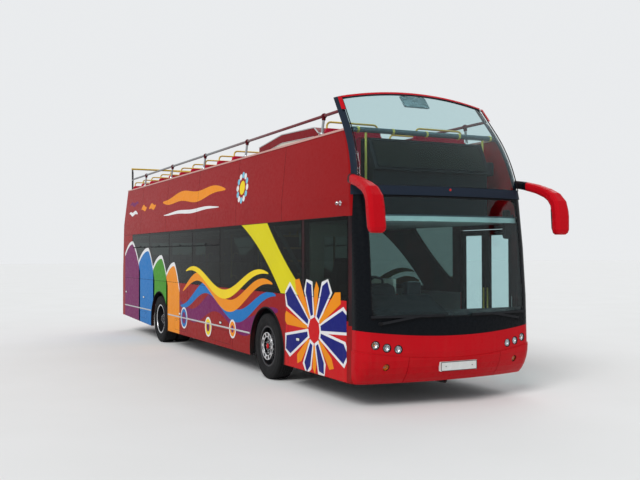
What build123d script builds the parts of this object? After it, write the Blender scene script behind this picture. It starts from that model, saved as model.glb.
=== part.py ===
from build123d import *
import os
from functools import lru_cache
from math import asin, cos, degrees, pi, radians, sin

# Open top double decker bus, in millimetres.
# +X is forward, +Y is the kerb side (the bus's left, where its door is), +Z is up.
# The origin is on the ground, halfway along the overall length, mirrors included.

# Driving dimensions of the whole vehicle
body_length = 12000.0
body_width = 2500.0
wheelbase = 5710.0
front_overhang = 3000.0
mirror_reach = 390.0
side_seam_setback = 365.0
tail_piece_length = 330.0
tyre_radius = 478.0
tyre_width = 275.0
twin_spacing = 310.0
tyre_inset = 22.0

# Heights above the road
skirt_bottom = 290.0
tail_rise = 80.0
crease_height = 660.0
waist_height = 1270.0
glass_head = 2220.0
deck_line = 2270.0
band_bottom = 2520.0
band_height = 110.0
parapet_top = 3325.0
side_rail_height = 3600.0
rear_hoop_height = 3880.0
screen_top = 3910.0
floor_top = 370.0
rear_floor_top = 800.0
bay_shelf_top = 1300.0
deck_floor_top = 2290.0

# Shape of the nose: arcs seen from the side, and the bow seen from above
bow_radius = 4800.0
tuck_radius = 480.0
screen_radius = 12000.0
brow_height = 2600.0
brow_radius = 1726.0
brow_end_angle = 38.7
nose_corner_radius = 170.0
side_lean = 0.1
tail_corner_radius = 120.0
tail_lean_start = 1250.0
tail_lean_angle = 5.4
tail_arc_radius = 3000.0

# Thicknesses
wall = 60.0
panel = 40.0
glass = 8.0
screen_glass = 10.0
floor_slab = 50.0
deck_slab = 80.0
partition = 40.0

# Running clearances and small seats
seam = 6.0
door_gap = 8.0
leaf_meeting_gap = 14.0
seat_gap = 0.3
bearing_gap = 0.3

# Stations along the bus that follow from the driving dimensions
half_width = body_width / 2
x_tail = -(body_length + mirror_reach) / 2
x_nose = x_tail + body_length
x_front_axle = x_nose - front_overhang
x_rear_axle = x_front_axle - wheelbase
x_screen = x_nose - side_seam_setback
x_side_end = x_tail + tail_piece_length
inner_half = half_width - wall
nose_length = 1800.0
room = 200.0
full_height = 4200.0

os.makedirs("parts", exist_ok=True)


def ahead(distance):
    """X of a station measured forward from the front axle."""
    return x_front_axle + distance


def behind_nose(distance):
    return x_nose - distance


def from_rear_axle(distance):
    return x_rear_axle + distance


# Sketch and solid helpers
def side_face(*edges):
    """A face in the XZ plane from edges drawn as (x, z)."""
    return Plane.XZ * make_face(list(edges))


def side_polygon(points):
    return Plane.XZ * make_face(Polyline(*points, close=True))


def across(face, y_low, y_high):
    """Extrude an XZ face between two values of Y."""
    return Pos(0, y_high, 0) * extrude(face, amount=y_high - y_low)


def block(x_low, x_high, y_low, y_high, z_low, z_high):
    size = (x_high - x_low, y_high - y_low, z_high - z_low)
    middle = ((x_high + x_low) / 2, (y_high + y_low) / 2, (z_high + z_low) / 2)
    return Pos(*middle) * Box(*size)


def along_x(face, x_low, x_high):
    """Extrude a YZ face between two values of X."""
    return Pos(x_low, 0, 0) * extrude(face, amount=x_high - x_low)


def front_polygon(points):
    return Plane.YZ * make_face(Polyline(*points, close=True))


def mirrored(shape):
    """The same shape on the other side of the bus."""
    return mirror(shape, about=Plane.XZ)


def both_sides(shape):
    return [shape, mirrored(shape)]


def solids_of(shapes):
    """Every solid of a shape or list of shapes, so that a node holds plain solids."""
    listed = shapes if isinstance(shapes, (list, tuple)) else [shapes]
    return [solid for shape in listed for solid in shape.solids()]


def rod(start, end, radius):
    """A round bar between two points."""
    along = Vector(*end) - Vector(*start)
    return Plane(origin=start, z_dir=along) * Cylinder(
        radius, along.length, align=(Align.CENTER, Align.CENTER, Align.MIN)
    )


def disc_y(centre, radius, y_low, y_high):
    """A cylinder whose axis runs along Y."""
    x, z = centre
    return rod((x, y_low, z), (x, y_high, z), radius)


def faceted_ring(outline, sides):
    """A closed outline of (distance along Z, radius) turned about Z in flat facets."""
    turns = [2 * pi * k / sides for k in range(sides)]
    rings = [[Vector(r * cos(turn), r * sin(turn), along) for along, r in outline] for turn in turns]
    count = len(outline)
    faces = []
    for k in range(sides):
        here, there = rings[k], rings[(k + 1) % sides]
        for j in range(count):
            i = (j + 1) % count
            faces.append(Face(Wire.make_polygon([here[j], there[j], there[i], here[i]])))
    return Solid(Shell(faces))


# The nose line on the centre plane: the tuck, the screen and the brow are arcs, then a slope
def leg(hypotenuse, other):
    return (hypotenuse**2 - other**2) ** 0.5


brow_start_angle = degrees(asin((brow_height - crease_height) / screen_radius))
brow_reach = screen_radius - brow_radius
brow_centre_x = x_nose - screen_radius + brow_reach * cos(radians(brow_start_angle))
brow_centre_z = crease_height + brow_reach * sin(radians(brow_start_angle))
slope_start = brow_centre_z + brow_radius * sin(radians(brow_end_angle))
slope_rate = sin(radians(brow_end_angle)) / cos(radians(brow_end_angle))


def nose_x(z):
    """X of the nose line at a height."""
    if z < crease_height:
        return x_nose - tuck_radius + leg(tuck_radius, crease_height - z)
    if z <= brow_height:
        return x_nose - screen_radius + leg(screen_radius, z - crease_height)
    if z <= slope_start:
        return brow_centre_x + leg(brow_radius, z - brow_centre_z)
    return nose_x(slope_start) - (z - slope_start) * slope_rate


def bow_fall(y):
    """How far the nose falls back at a distance from the centre plane."""
    return bow_radius - leg(bow_radius, y)


def half_width_at(z):
    """Half of the body's width at a height."""
    return half_width - side_lean * max(0.0, z - band_bottom)


# Heights of the sections that the nose is drawn through: closer where it curves more
tuck_steps = 5
screen_steps = 3
brow_steps = 6
skin_top = full_height - 100.0
skin_low = skirt_bottom - 5.0


def lower_heights():
    low_angle = asin((crease_height - skin_low) / tuck_radius)
    heights = [crease_height - tuck_radius * sin(low_angle * (1 - k / tuck_steps)) for k in range(tuck_steps)]
    rise = (band_bottom - crease_height) / screen_steps
    return heights + [crease_height + k * rise for k in range(screen_steps + 1)]


def upper_heights():
    start, end = radians(brow_start_angle), radians(brow_end_angle)
    angles = [start + (end - start) * k / brow_steps for k in range(brow_steps + 1)]
    return [band_bottom] + [brow_centre_z + brow_radius * sin(angle) for angle in angles] + [skin_top]


# The outer envelope of the body, and the same envelope a level distance inside it
def plan_section(z, inset):
    """The nose's outline seen from above at one height: a bow with a round corner at each side."""
    half = half_width_at(z) - inset
    corner = nose_corner_radius - inset
    bow = bow_radius - inset
    x_bow = nose_x(z) - bow_radius
    x_corner = x_bow + leg(bow - corner, half - corner)
    lean = asin((half - corner) / (bow - corner))
    x_join, y_join = x_bow + bow * cos(lean), bow * sin(lean)
    turn = (lean + pi / 2) / 2
    x_mid, y_mid = x_corner + corner * cos(turn), half - corner + corner * sin(turn)
    x_back = x_nose - nose_length
    edges = [
        Line((x_back, half), (x_corner, half)),
        ThreePointArc((x_corner, half), (x_mid, y_mid), (x_join, y_join)),
        ThreePointArc((x_join, y_join), (x_bow + bow, 0), (x_join, -y_join)),
        ThreePointArc((x_join, -y_join), (x_mid, -y_mid), (x_corner, -half)),
        Line((x_corner, -half), (x_back, -half)),
        Line((x_back, -half), (x_back, half)),
    ]
    return Pos(0, 0, z) * make_face(edges)


def tail_profile(inset):
    """The side view of the whole body behind the nose, with the leaning tail."""
    low = skirt_bottom - 10.0
    x_front = x_nose + 200.0
    x_back = x_tail + inset
    radius = tail_arc_radius - inset
    upright = Line((x_back, low), (x_back, tail_lean_start))
    bend = CenterArc((x_back + radius, tail_lean_start), radius, 180, -tail_lean_angle)
    bend_end = bend @ 1
    rise = full_height - bend_end.Y
    x_top = bend_end.X + rise * sin(radians(tail_lean_angle)) / cos(radians(tail_lean_angle))
    closing = Polyline(bend_end, (x_top, full_height), (x_front, full_height), (x_front, low), (x_back, low))
    return side_face(upright, bend, closing)


def rear_prism(inset, z_low, z_high):
    """The body behind the nose: upright to the band, then leaning in."""
    low_half, top_half = half_width_at(z_low) - inset, half_width_at(z_high) - inset
    outline = [(-low_half, z_low), (low_half, z_low), (top_half, z_high), (-top_half, z_high)]
    body = along_x(front_polygon(outline), x_tail - room, x_nose - nose_length)
    body = body & across(tail_profile(inset), -half_width - room, half_width + room)
    edges = [e for e in body.edges() if e.bounding_box().size.Z > 1.0 and e.center().X < x_tail + 500]
    return fillet(edges, tail_corner_radius - inset)


@lru_cache(maxsize=None)
def lower_envelope(inset):
    nose = loft([plan_section(z, inset) for z in lower_heights()], ruled=True)
    return rear_prism(inset, skin_low, band_bottom) + nose


@lru_cache(maxsize=None)
def upper_envelope(inset):
    nose = loft([plan_section(z, inset) for z in upper_heights()], ruled=True)
    return rear_prism(inset, band_bottom, skin_top) + nose


@lru_cache(maxsize=None)
def lower_skin(outer, inner):
    return lower_envelope(outer) - lower_envelope(inner)


@lru_cache(maxsize=None)
def upper_skin(outer, inner):
    return upper_envelope(outer) - upper_envelope(inner)


@lru_cache(maxsize=None)
def ahead_of_nose_line(setback):
    """All above the band that lies ahead of the nose line moved back, seen from the side."""
    line = [(nose_x(z) - setback, z) for z in upper_heights()]
    ahead_of_it = [(x_nose + room, skin_top), (x_nose + room, band_bottom)]
    return across(side_polygon(line + ahead_of_it), -half_width - room, half_width + room)


def rounded_slot(half, z_low, z_high, corner, x_low, x_high):
    """A rounded rectangle centred on the bus, cut through along X."""
    outline = Pos(0, (z_low + z_high) / 2) * RectangleRounded(2 * half, z_high - z_low, corner)
    return along_x(Plane.YZ * outline, x_low, x_high)


def rising_arc(z_middle, rise):
    """All that lies above an arc that is low in the middle of the front and rises to the sides."""
    radius = (half_width**2 + rise**2) / (2 * rise)
    z = z_middle + radius
    return rod((x_nose - 1500.0, 0, z), (x_nose + room, 0, z), radius)


# Front end
crease_middle = 579.0
crease_rise = 105.0
bumper_bulge = 12.0
bumper_split = 667.0
mask_middle = 842.0
mask_rise = 85.0
screen_half = 1110.0
screen_sill = 1070.0
screen_head = 2500.0
screen_corner = 110.0
post_setback = 245.0
post_width = 55.0
arch_bar = 45.0
arch_rise = 150.0
frame_depth = 45.0
band_bulge = 12.0
band_top = band_bottom + band_height
lamp_radius = 52.0
lamp_depth = 50.0
lamp_places = ((1073.0, 760.0), (937.0, 725.0), (797.0, 705.0))
fog_radius = 42.0
fog_places = ((937.0, 497.0),)
plate_size = (6.0, 520.0, 111.0)
front_plate_z = 480.0


def front_zone(z_low, z_high):
    return block(x_screen, x_nose + room, -half_width - room, half_width + room, z_low, z_high)


def screen_opening():
    """The lower windscreen's outline seen from the front."""
    return rounded_slot(screen_half, screen_sill, screen_head, screen_corner, x_screen, x_nose + room)


def front_lamp_shapes(spare):
    """Every round lamp of the front, or its bore right through when there is spare room."""
    lamps = []
    for places, radius in ((lamp_places, lamp_radius), (fog_places, fog_radius)):
        for y, z in places:
            x_face = x_nose - bow_fall(y)
            x_back = x_screen if spare else x_face - lamp_depth
            lamps += both_sides(rod((x_back, y, z), (x_nose + bumper_bulge, y, z), radius + spare))
    return lamps


def without(shape, cutters):
    for cutter in cutters:
        shape = shape - cutter
    return shape


def front_bumper():
    skin = lower_skin(-bumper_bulge, panel) & front_zone(skirt_bottom, 1000.0)
    skin = skin - rising_arc(crease_middle, crease_rise)
    reach = x_nose + room
    splits = both_sides(block(x_screen, reach, bumper_split - seam / 2, bumper_split + seam / 2, 0, 1000.0))
    return without(skin, splits + front_lamp_shapes(seat_gap))


def front_panel():
    skin = lower_skin(0.0, panel) & front_zone(skirt_bottom, 1300.0)
    skin = (skin & rising_arc(crease_middle + seat_gap, crease_rise)) - rising_arc(mask_middle, mask_rise)
    return without(skin, front_lamp_shapes(seat_gap))


def front_lamps():
    return [lamp & lower_envelope(0.0) for lamp in front_lamp_shapes(0.0)]


def windscreen_surround():
    skin = lower_skin(0.0, panel) & front_zone(skirt_bottom, band_bottom)
    skin = skin & rising_arc(mask_middle + seat_gap, mask_rise)
    return skin - screen_opening()


def windscreen_lower():
    return lower_skin(0.0, screen_glass) & screen_opening()


def windscreen_band():
    skin = upper_skin(-band_bulge, panel) & block(0, x_nose + room, -room * 10, room * 10, band_bottom, band_top)
    return skin & ahead_of_nose_line(post_setback)


def top_arch(drop):
    """All that lies below the arched top edge of the upper windscreen."""
    radius = (half_width**2 + arch_rise**2) / (2 * arch_rise)
    z = screen_top - drop - radius
    return rod((0, 0, z), (x_nose + room, 0, z), radius)


def upper_opening():
    """The upper windscreen's outline seen from the front."""
    low = half_width_at(band_top) - post_width
    high = half_width_at(full_height) - post_width
    outline = [(-low, band_top), (low, band_top), (high, full_height), (-high, full_height)]
    return along_x(front_polygon(outline), 0, x_nose + room) & top_arch(arch_bar)


def upper_front_skin(depth):
    skin = upper_skin(0.0, depth) & block(0, x_nose + room, -room * 10, room * 10, band_top, full_height)
    return skin & ahead_of_nose_line(post_setback)


def upper_screen_frame():
    return (upper_front_skin(frame_depth) & top_arch(0.0)) - upper_opening()


def windscreen_upper():
    return upper_front_skin(screen_glass) & upper_opening()


# Side walls, with their wheel arches, window band and swoosh pillar
arch_radius = 620.0
arch_forward = 45.0
arch_drop = 62.0
bay_front = -1950.0
bay_pitch = 1500.0
tail_blank = 1050.0
bay_count = int((ahead(bay_front) - x_tail - tail_blank) / bay_pitch)
pillar = 80.0
sill_up = 60.0
skirt_kick = 600.0
swoosh_rear = ((-950.0, deck_line), (-170.0, 1860.0), (570.0, waist_height))
swoosh_front = ((80.0, deck_line), (740.0, 1700.0), (1400.0, waist_height))
stair_pillar_rear = 1730.0
stair_pillar_front = 1670.0
cab_pillar = 85.0
turned_in = 140.0
cab_glass_step = 820.0
cab_glass_foot = 720.0
cab_glass_sill = 1020.0

# Kerb side door, measured back from the nose
door_rear = 1590.0
door_front = 470.0
door_head = 2150.0
leaf_thickness = 40.0
leaf_border = 70.0
leaf_foot = 160.0
leaf_glass_inset = 16.0


def swoosh_edge(points):
    start, middle, end = [(ahead(x), z) for x, z in points]
    return ThreePointArc(start, middle, end)


def side_rectangle(x_low, x_high, z_low, z_high):
    return side_polygon([(x_low, z_low), (x_high, z_low), (x_high, z_high), (x_low, z_high)])


def behind_edge(points):
    """The area of the window band behind a slanting edge of the swoosh."""
    edge = swoosh_edge(points)
    far = ahead(bay_front) - bay_pitch
    top, foot = edge @ 0, edge @ 1
    return side_face(edge, Polyline(foot, (far, foot.Y), (far, top.Y), top))


def swoosh_face():
    window_band = side_rectangle(ahead(bay_front), behind_nose(stair_pillar_rear), waist_height, deck_line)
    return (behind_edge(swoosh_front) - behind_edge(swoosh_rear)) & window_band


def bay_faces(margin, z_low, z_high):
    """Window bays from the tail to the swoosh, less a margin for the pillars."""
    starts = [ahead(bay_front) - (bay_count - k) * bay_pitch for k in range(bay_count)]
    faces = [side_rectangle(x + margin, x + bay_pitch - margin, z_low, z_high) for x in starts]
    last = side_rectangle(ahead(bay_front) + margin, x_front_axle + bay_pitch, z_low, z_high)
    return faces + [last & Pos(-margin, 0, 0) * behind_edge(swoosh_rear)]


def stair_face(margin, z_low, z_high):
    """The window between the swoosh and the pillar behind the driver."""
    window = side_rectangle(x_front_axle, behind_nose(stair_pillar_rear) - margin, z_low, z_high)
    return window - Pos(margin, 0, 0) * behind_edge(swoosh_front)


def cab_face(margin):
    """The driver's window, which reaches lower towards the front."""
    rear = behind_nose(stair_pillar_front) + margin
    front = x_screen - cab_pillar - margin
    points = [(rear, waist_height + margin), (behind_nose(cab_glass_step) + margin, waist_height + margin)]
    points += [(behind_nose(cab_glass_foot) + margin, cab_glass_sill + margin), (front, cab_glass_sill + margin)]
    points += [(front, deck_line - margin), (rear, deck_line - margin)]
    return side_polygon(points)


def wall_blank():
    """The side wall, with its underside rising behind the rear wheel and its front end turning in."""
    x_rise, x_flat = from_rear_axle(-skirt_kick), x_screen - turned_in
    outline = [(x_side_end, skirt_bottom + tail_rise), (x_rise, skirt_bottom), (x_flat, skirt_bottom)]
    outline += [(x_flat, deck_line), (x_side_end, deck_line)]
    y_low = half_width - nose_corner_radius
    corner = block(x_flat, x_screen, y_low, half_width + room, skirt_bottom, deck_line)
    blank = across(side_polygon(outline), inner_half, half_width) + (lower_skin(0.0, wall) & corner)
    for x_axle in (x_front_axle, x_rear_axle):
        centre = (x_axle + arch_forward, tyre_radius - arch_drop)
        blank = blank - disc_y(centre, arch_radius, inner_half - 10, half_width + 10)
    return blank


def cut_windows(blank, openings, beds):
    """Cut the openings right through and the glass beds to the depth of the glass."""
    for face in openings:
        blank = blank - across(face, inner_half - 10, half_width + 10)
    for face in beds:
        blank = blank - across(face, half_width - glass, half_width + 10)
    return blank


def shared_openings():
    z_low = waist_height + sill_up
    return bay_faces(pillar / 2, z_low, glass_head) + [stair_face(pillar / 2, z_low, glass_head)]


def shared_beds(margin):
    faces = bay_faces(margin, waist_height, deck_line)
    return faces + [stair_face(margin, waist_height, deck_line)]


def side_wall_offside():
    openings = shared_openings() + [cab_face(pillar / 2)]
    beds = shared_beds(0.0) + [swoosh_face(), cab_face(0.0)]
    return mirrored(cut_windows(wall_blank(), openings, beds))


def side_wall_nearside():
    blank = cut_windows(wall_blank(), shared_openings(), shared_beds(0.0) + [swoosh_face()])
    x_low, x_high = behind_nose(door_rear), behind_nose(door_front)
    return blank - block(x_low, x_high, 0, half_width + 10, floor_top, door_head)


def swoosh_pillars():
    return both_sides(across(swoosh_face(), half_width - glass, half_width))


def saloon_windows():
    panes = [across(face, half_width - glass, half_width) for face in shared_beds(seam / 2)]
    cab = mirrored(across(cab_face(seam / 2), half_width - glass, half_width))
    return panes + [mirrored(pane) for pane in panes] + [cab, rear_window()]


def upper_sides():
    """The side panels of the upper deck, upright to the band and leaning above it."""
    far = half_width + room
    upright = lower_skin(0.0, panel) & block(x_side_end, x_screen, 0, far, deck_line, band_bottom)
    leaning = upper_skin(0.0, panel) & block(x_side_end, x_nose, 0, far, band_bottom, parapet_top)
    return both_sides(upright + (leaning - ahead_of_nose_line(post_setback)))


capping_overhang = 8.0
capping_width = 60.0
capping_height = 26.0
capping_top = parapet_top + capping_height


def parapet_capping():
    cap = upper_skin(-capping_overhang, capping_width - capping_overhang)
    cap = cap & block(x_tail - room, x_nose, -room * 10, room * 10, parapet_top, capping_top)
    return cap - ahead_of_nose_line(post_setback)


# Tail
tail_bottom = skirt_bottom + tail_rise
lid_half = 800.0
lid_bottom = 560.0
lid_top = 1240.0
lid_corner = 40.0
lid_thickness = 40.0
grille_half = 520.0
grille_top = 1150.0
grille_slots = 7
grille_pitch = 55.0
grille_slot_height = 24.0
rear_glass_half = 850.0
rear_glass_low = 1450.0
rear_glass_high = 2100.0
rear_glass_corner = 60.0
tail_lamp_radius = 55.0
tail_lamp_depth = 25.0
tail_lamp_proud = 12.0
tail_lamp_y = 1010.0
tail_lamp_heights = (720.0, 880.0, 1040.0)
rear_plate_up = 25.0


def tail_zone(z_low, z_high):
    return block(x_tail - room, x_side_end, -half_width - room, half_width + room, z_low, z_high)


def rear_glass_slot():
    return rounded_slot(
        rear_glass_half, rear_glass_low, rear_glass_high, rear_glass_corner, x_tail - room, x_side_end
    )


def tail_lamp_shapes(depth, radius):
    lamps = []
    for z in tail_lamp_heights:
        start = (x_tail - tail_lamp_proud, tail_lamp_y, z)
        lamps += both_sides(rod(start, (x_tail + depth, tail_lamp_y, z), radius))
    return lamps


def rear_wall():
    skin = lower_skin(0.0, wall) & tail_zone(tail_bottom, band_bottom)
    skin = skin - rounded_slot(lid_half, lid_bottom, lid_top, lid_corner, x_tail - room, x_side_end)
    skin = skin - rear_glass_slot()
    return without(skin, tail_lamp_shapes(tail_lamp_depth, tail_lamp_radius + seat_gap))


def rear_window():
    return lower_skin(0.0, glass) & rear_glass_slot()


def rear_upper_panel():
    return upper_skin(0.0, panel) & tail_zone(band_bottom, parapet_top)


def engine_lid():
    """The lid over the engine, with a row of air slots."""
    half = lid_half - door_gap
    z_low, z_high = lid_bottom + door_gap, lid_top - seat_gap
    lid = rounded_slot(half, z_low, z_high, lid_corner - door_gap, x_tail, x_tail + lid_thickness)
    for k in range(grille_slots):
        z = grille_top - k * grille_pitch
        slot = block(x_tail, x_tail + lid_thickness, -grille_half, grille_half, z - grille_slot_height, z)
        lid = lid - slot
    return lid


def tail_lamps():
    return tail_lamp_shapes(tail_lamp_depth - seat_gap, tail_lamp_radius)


def number_plates():
    thick, wide, high = plate_size
    z_front = front_plate_z - high / 2
    bumper_low = lower_envelope(-bumper_bulge)
    front = block(x_nose - 30, x_nose + bumper_bulge + thick, -wide / 2, wide / 2, z_front, z_front + high)
    z_rear = tail_bottom + rear_plate_up
    rear = block(x_tail - thick - seat_gap, x_tail - seat_gap, -wide / 2, wide / 2, z_rear, z_rear + high)
    return [front - bumper_low, rear]


# Running gear places
king_pin_y = 900.0
beam_bottom = 150.0
beam_top = 250.0
rail_y = 520.0
rail_width = 70.0
low_rail_top = floor_top - floor_slab
high_rail_height = 120.0
rear_slab = 60.0
high_rail_top = rear_floor_top - rear_slab
high_rail_bottom = high_rail_top - high_rail_height
rear_beam_half = 75.0
bellows_radius = 95.0
wheel_y = half_width - tyre_inset - tyre_width / 2
box_reach = 680.0
box_wall = 40.0
front_box_inside = 575.0
rear_box_inside = 610.0
box_top = 1100.0
step_post = 60.0
cross_member = 60.0

# The low cross members and jacking pads lie from the front axle, the engine from the tail
low_members = (-3300.0, -1800.0, -500.0, 600.0, 2400.0)
low_rail_front = 2500.0
jack_place = -2500.0
jack_half = 60.0
jack_drop = 10.0
step_post_front = 970.0
engine_setback = 250.0
engine_length = 1270.0
engine_half = 450.0
engine_bottom = 430.0
engine_top = 1200.0
x_engine_rear = x_tail + engine_setback
x_engine_front = x_engine_rear + engine_length
high_member_clear = 270.0
mount_inset = 235.0
mount_half = 60.0
tow_socket_z = 265.0
tow_socket_radius = 35.0
tow_bore_radius = 20.0
tow_bore_depth = 100.0
tow_socket_end = 2720.0


def chassis_frame():
    y_low, y_high = rail_y - rail_width / 2, rail_y + rail_width / 2
    x_post = from_rear_axle(step_post_front)
    x_rear_end = x_tail + wall + lid_thickness
    side_pieces = [
        block(x_post - step_post, ahead(low_rail_front), y_low, y_high, beam_top, low_rail_top),
        block(x_post - step_post, x_post, y_low, y_high, beam_top, high_rail_top),
        block(x_rear_end, x_post, y_low, y_high, high_rail_bottom, high_rail_top),
        rod((x_rear_axle, rail_y, tyre_radius + rear_beam_half), (x_rear_axle, rail_y, high_rail_bottom),
            bellows_radius),
        block(ahead(jack_place) - jack_half, ahead(jack_place) + jack_half, y_low, y_high,
              beam_top - jack_drop, beam_top),
    ]
    for x in (x_engine_rear + mount_inset, x_engine_front - mount_inset):
        mount = block(x - mount_half, x + mount_half, engine_half, y_low, high_rail_bottom, high_rail_top)
        side_pieces.append(mount)
    half = cross_member / 2
    stations = [(x_post - step_post / 2, beam_top, low_rail_top)]
    stations += [(ahead(distance), beam_top, low_rail_top) for distance in low_members]
    stations += [(x_engine_front + high_member_clear, high_rail_bottom, high_rail_top)]
    frame = block(x_rear_end, x_rear_end + cross_member, -rail_y, rail_y, high_rail_bottom, high_rail_top)
    for x, z_low, z_high in stations:
        frame = frame + block(x - half, x + half, -rail_y, rail_y, z_low, z_high)
    for piece in side_pieces:
        frame = frame + piece + mirrored(piece)
    mouth = (ahead(tow_socket_end), 0, tow_socket_z)
    frame = frame + rod((ahead(low_members[-1]), 0, tow_socket_z), mouth, tow_socket_radius)
    return frame - rod((mouth[0] - tow_bore_depth, 0, tow_socket_z), mouth, tow_bore_radius)


def engine_block():
    return block(x_engine_rear, x_engine_front, -engine_half, engine_half, engine_bottom, engine_top)


# Floors: distances of the steps from the rear axle
step_one = 1360.0
step_two = 1060.0
bay_clear = 180.0
x_bay = x_engine_front + bay_clear
cab_rear = 1580.0
cab_front = 700.0
cab_side = -400.0
cab_floor_top = 620.0


def lower_floor():
    middle = (floor_top + rear_floor_top) / 2
    x_one, x_two = from_rear_axle(step_one), from_rear_axle(step_two)
    low, high, shelf = floor_slab, rear_slab, bay_shelf_top - rear_slab
    top = [(x_nose, floor_top), (x_one, floor_top), (x_one, middle), (x_two, middle), (x_two, rear_floor_top)]
    top += [(x_bay, rear_floor_top), (x_bay, bay_shelf_top), (x_tail, bay_shelf_top), (x_tail, shelf)]
    under = [(x_bay - high, shelf), (x_bay - high, rear_floor_top - high), (x_two - high, rear_floor_top - high)]
    under += [(x_two - high, middle - low), (x_one - high, middle - low), (x_one - high, floor_top - low)]
    under += [(x_nose, floor_top - low)]
    floor = across(side_polygon(top + under), -inner_half, inner_half)
    x_low, x_high = behind_nose(cab_rear), behind_nose(cab_front)
    floor = floor + block(x_low, x_high, -inner_half, cab_side, floor_top, cab_floor_top)
    boxes = (
        (x_front_axle, front_box_inside, floor_top - low),
        (x_rear_axle, rear_box_inside, rear_floor_top - high),
    )
    reach = box_reach - box_wall
    for x_axle, inside, z_low in boxes:
        shell = block(x_axle - box_reach, x_axle + box_reach, inside - box_wall, inner_half, z_low, box_top)
        floor = floor + shell + mirrored(shell)
    for x_axle, inside, _ in boxes:
        hollow = block(x_axle - reach, x_axle + reach, inside, inner_half + 10, 0, box_top - box_wall)
        floor = floor - hollow - mirrored(hollow)
    return floor & lower_envelope(wall)


# Stairs: a quarter turn from the gangway, then a flight that rises towards the tail
well_rear = -550.0
well_front = 1350.0
well_outer = -1080.0
well_inner = -540.0
landing_rear = 720.0
landing_top = 1170.0
landing_slab = 50.0
flight_waist = 70.0
flight_risers = 6
low_steps = 3
low_tread = 210.0
stair_clear = 20.0


def upper_deck_floor():
    slab = lower_envelope(wall)
    slab = slab & block(x_tail, x_nose, -half_width, half_width, deck_floor_top - deck_slab, deck_floor_top)
    return slab - block(ahead(well_rear), ahead(well_front), well_outer, well_inner, 0, full_height)


def stairs():
    rise = (deck_floor_top - landing_top) / flight_risers
    going = (landing_rear - well_rear) / (flight_risers - 1)
    outer, inner = -inner_half + seat_gap, well_inner - stair_clear
    front = ahead(well_front) - stair_clear / 2
    underside = landing_top - landing_slab
    points = [(front, underside), (front, landing_top), (ahead(landing_rear), landing_top)]
    for k in range(1, flight_risers):
        points.append((ahead(landing_rear - (k - 1) * going), landing_top + k * rise))
        points.append((ahead(landing_rear - k * going), landing_top + k * rise))
    last_tread = landing_top + (flight_risers - 1) * rise
    points.append((ahead(well_rear), last_tread - flight_waist))
    points.append((ahead(landing_rear) - flight_waist, underside))
    flight = across(side_polygon(points), outer, inner)
    low_rise = (landing_top - floor_top) / (low_steps + 1)
    profile = [(outer, floor_top), (outer, underside), (inner, underside)]
    for k in range(low_steps):
        z = landing_top - (k + 1) * low_rise
        profile += [(inner + k * low_tread, z), (inner + (k + 1) * low_tread, z)]
    profile.append((inner + low_steps * low_tread, floor_top))
    return flight + along_x(front_polygon(profile), ahead(landing_rear), front)


# Cover over the stairs, open towards the tail
hood_rear_top = 3440.0
hood_peak = (300.0, 3530.0)
hood_front = ((1350.0, 3490.0), (1480.0, 3400.0))
hood_wall = 30.0
hood_lap = 10.0


def stair_hood():
    t = hood_wall
    y_low, y_high = well_outer - t, well_inner + t + hood_lap
    (x_peak, z_peak), (x_brow, z_brow), (x_front, z_front) = hood_peak, *hood_front
    outline = [(well_rear, deck_floor_top), (well_rear, hood_rear_top), (x_peak, z_peak), (x_brow, z_brow)]
    outline += [(x_front, z_front), (x_front, deck_floor_top)]
    outer = across(side_polygon([(ahead(x), z) for x, z in outline]), y_low, y_high)
    inside = [(well_rear - t, deck_floor_top - t), (well_rear - t, z_peak + t), (x_peak, z_peak + t)]
    inside += [(x_peak, z_peak - t), (x_brow, z_brow - t), (x_front - t, z_front - t / 2)]
    inside += [(x_front - t, deck_floor_top - t)]
    hollow = across(side_polygon([(ahead(x), z) for x, z in inside]), y_low + t, y_high - t)
    return outer - hollow


# Deck rails and furniture
rail_radius = 20.0
post_radius = 17.0
brace_radius = 16.0
rail_inset = 30.0
post_inset = 22.0
hoop_setback = 215.0
hoop_half = 1050.0
hoop_bend = 400.0
x_hoop = x_tail + hoop_setback
x_bend = x_hoop + hoop_bend
front_post = 1650.0
next_post = -1040.0
post_pitch = 2060.0
last_post_room = 100.0
post_count = int((ahead(next_post) - x_bend - last_post_room) / post_pitch) + 1
rail_posts = [ahead(front_post)] + [ahead(next_post) - k * post_pitch for k in range(post_count)]
front_rail_z = 3340.0
front_rail_setback = 195.0
front_rail_radius = 33.0


def deck_rails():
    y = half_width_at(side_rail_height) - rail_inset
    z = side_rail_height
    z_foot = capping_top - post_radius
    x_end = nose_x(z + rail_radius) - post_setback - seat_gap
    over = hoop_half + rail_radius
    rails = rod((x_hoop, -over, rear_hoop_height), (x_hoop, over, rear_hoop_height), rail_radius)
    for side in (-1, 1):
        top, foot = (x_hoop, side * hoop_half, rear_hoop_height), (x_hoop, side * hoop_half, z_foot)
        rails = rails + rod(foot, top, post_radius)
        rails = rails + rod((x_bend - rail_radius, side * y, z), (x_end, side * y, z), rail_radius)
        rails = rails + rod((x_hoop, side * hoop_half, z), (x_bend, side * y, z), brace_radius)
        for x in rail_posts:
            foot = (x, side * (half_width_at(parapet_top) - post_inset), z_foot)
            rails = rails + rod(foot, (x, side * y, z), post_radius)
    below = block(x_tail, x_nose, -half_width, half_width, 0, capping_top + seat_gap)
    return rails - below


def front_rail():
    x = nose_x(front_rail_z) - front_rail_setback
    bar = rod((x, -half_width, front_rail_z), (x, half_width, front_rail_z), front_rail_radius)
    return bar & upper_envelope(frame_depth + seat_gap)


display_low = 2850.0
display_high = 3250.0
display_half = 860.0
display_clear = 250.0
display_depth = 180.0
display_toe = 70.0


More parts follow.
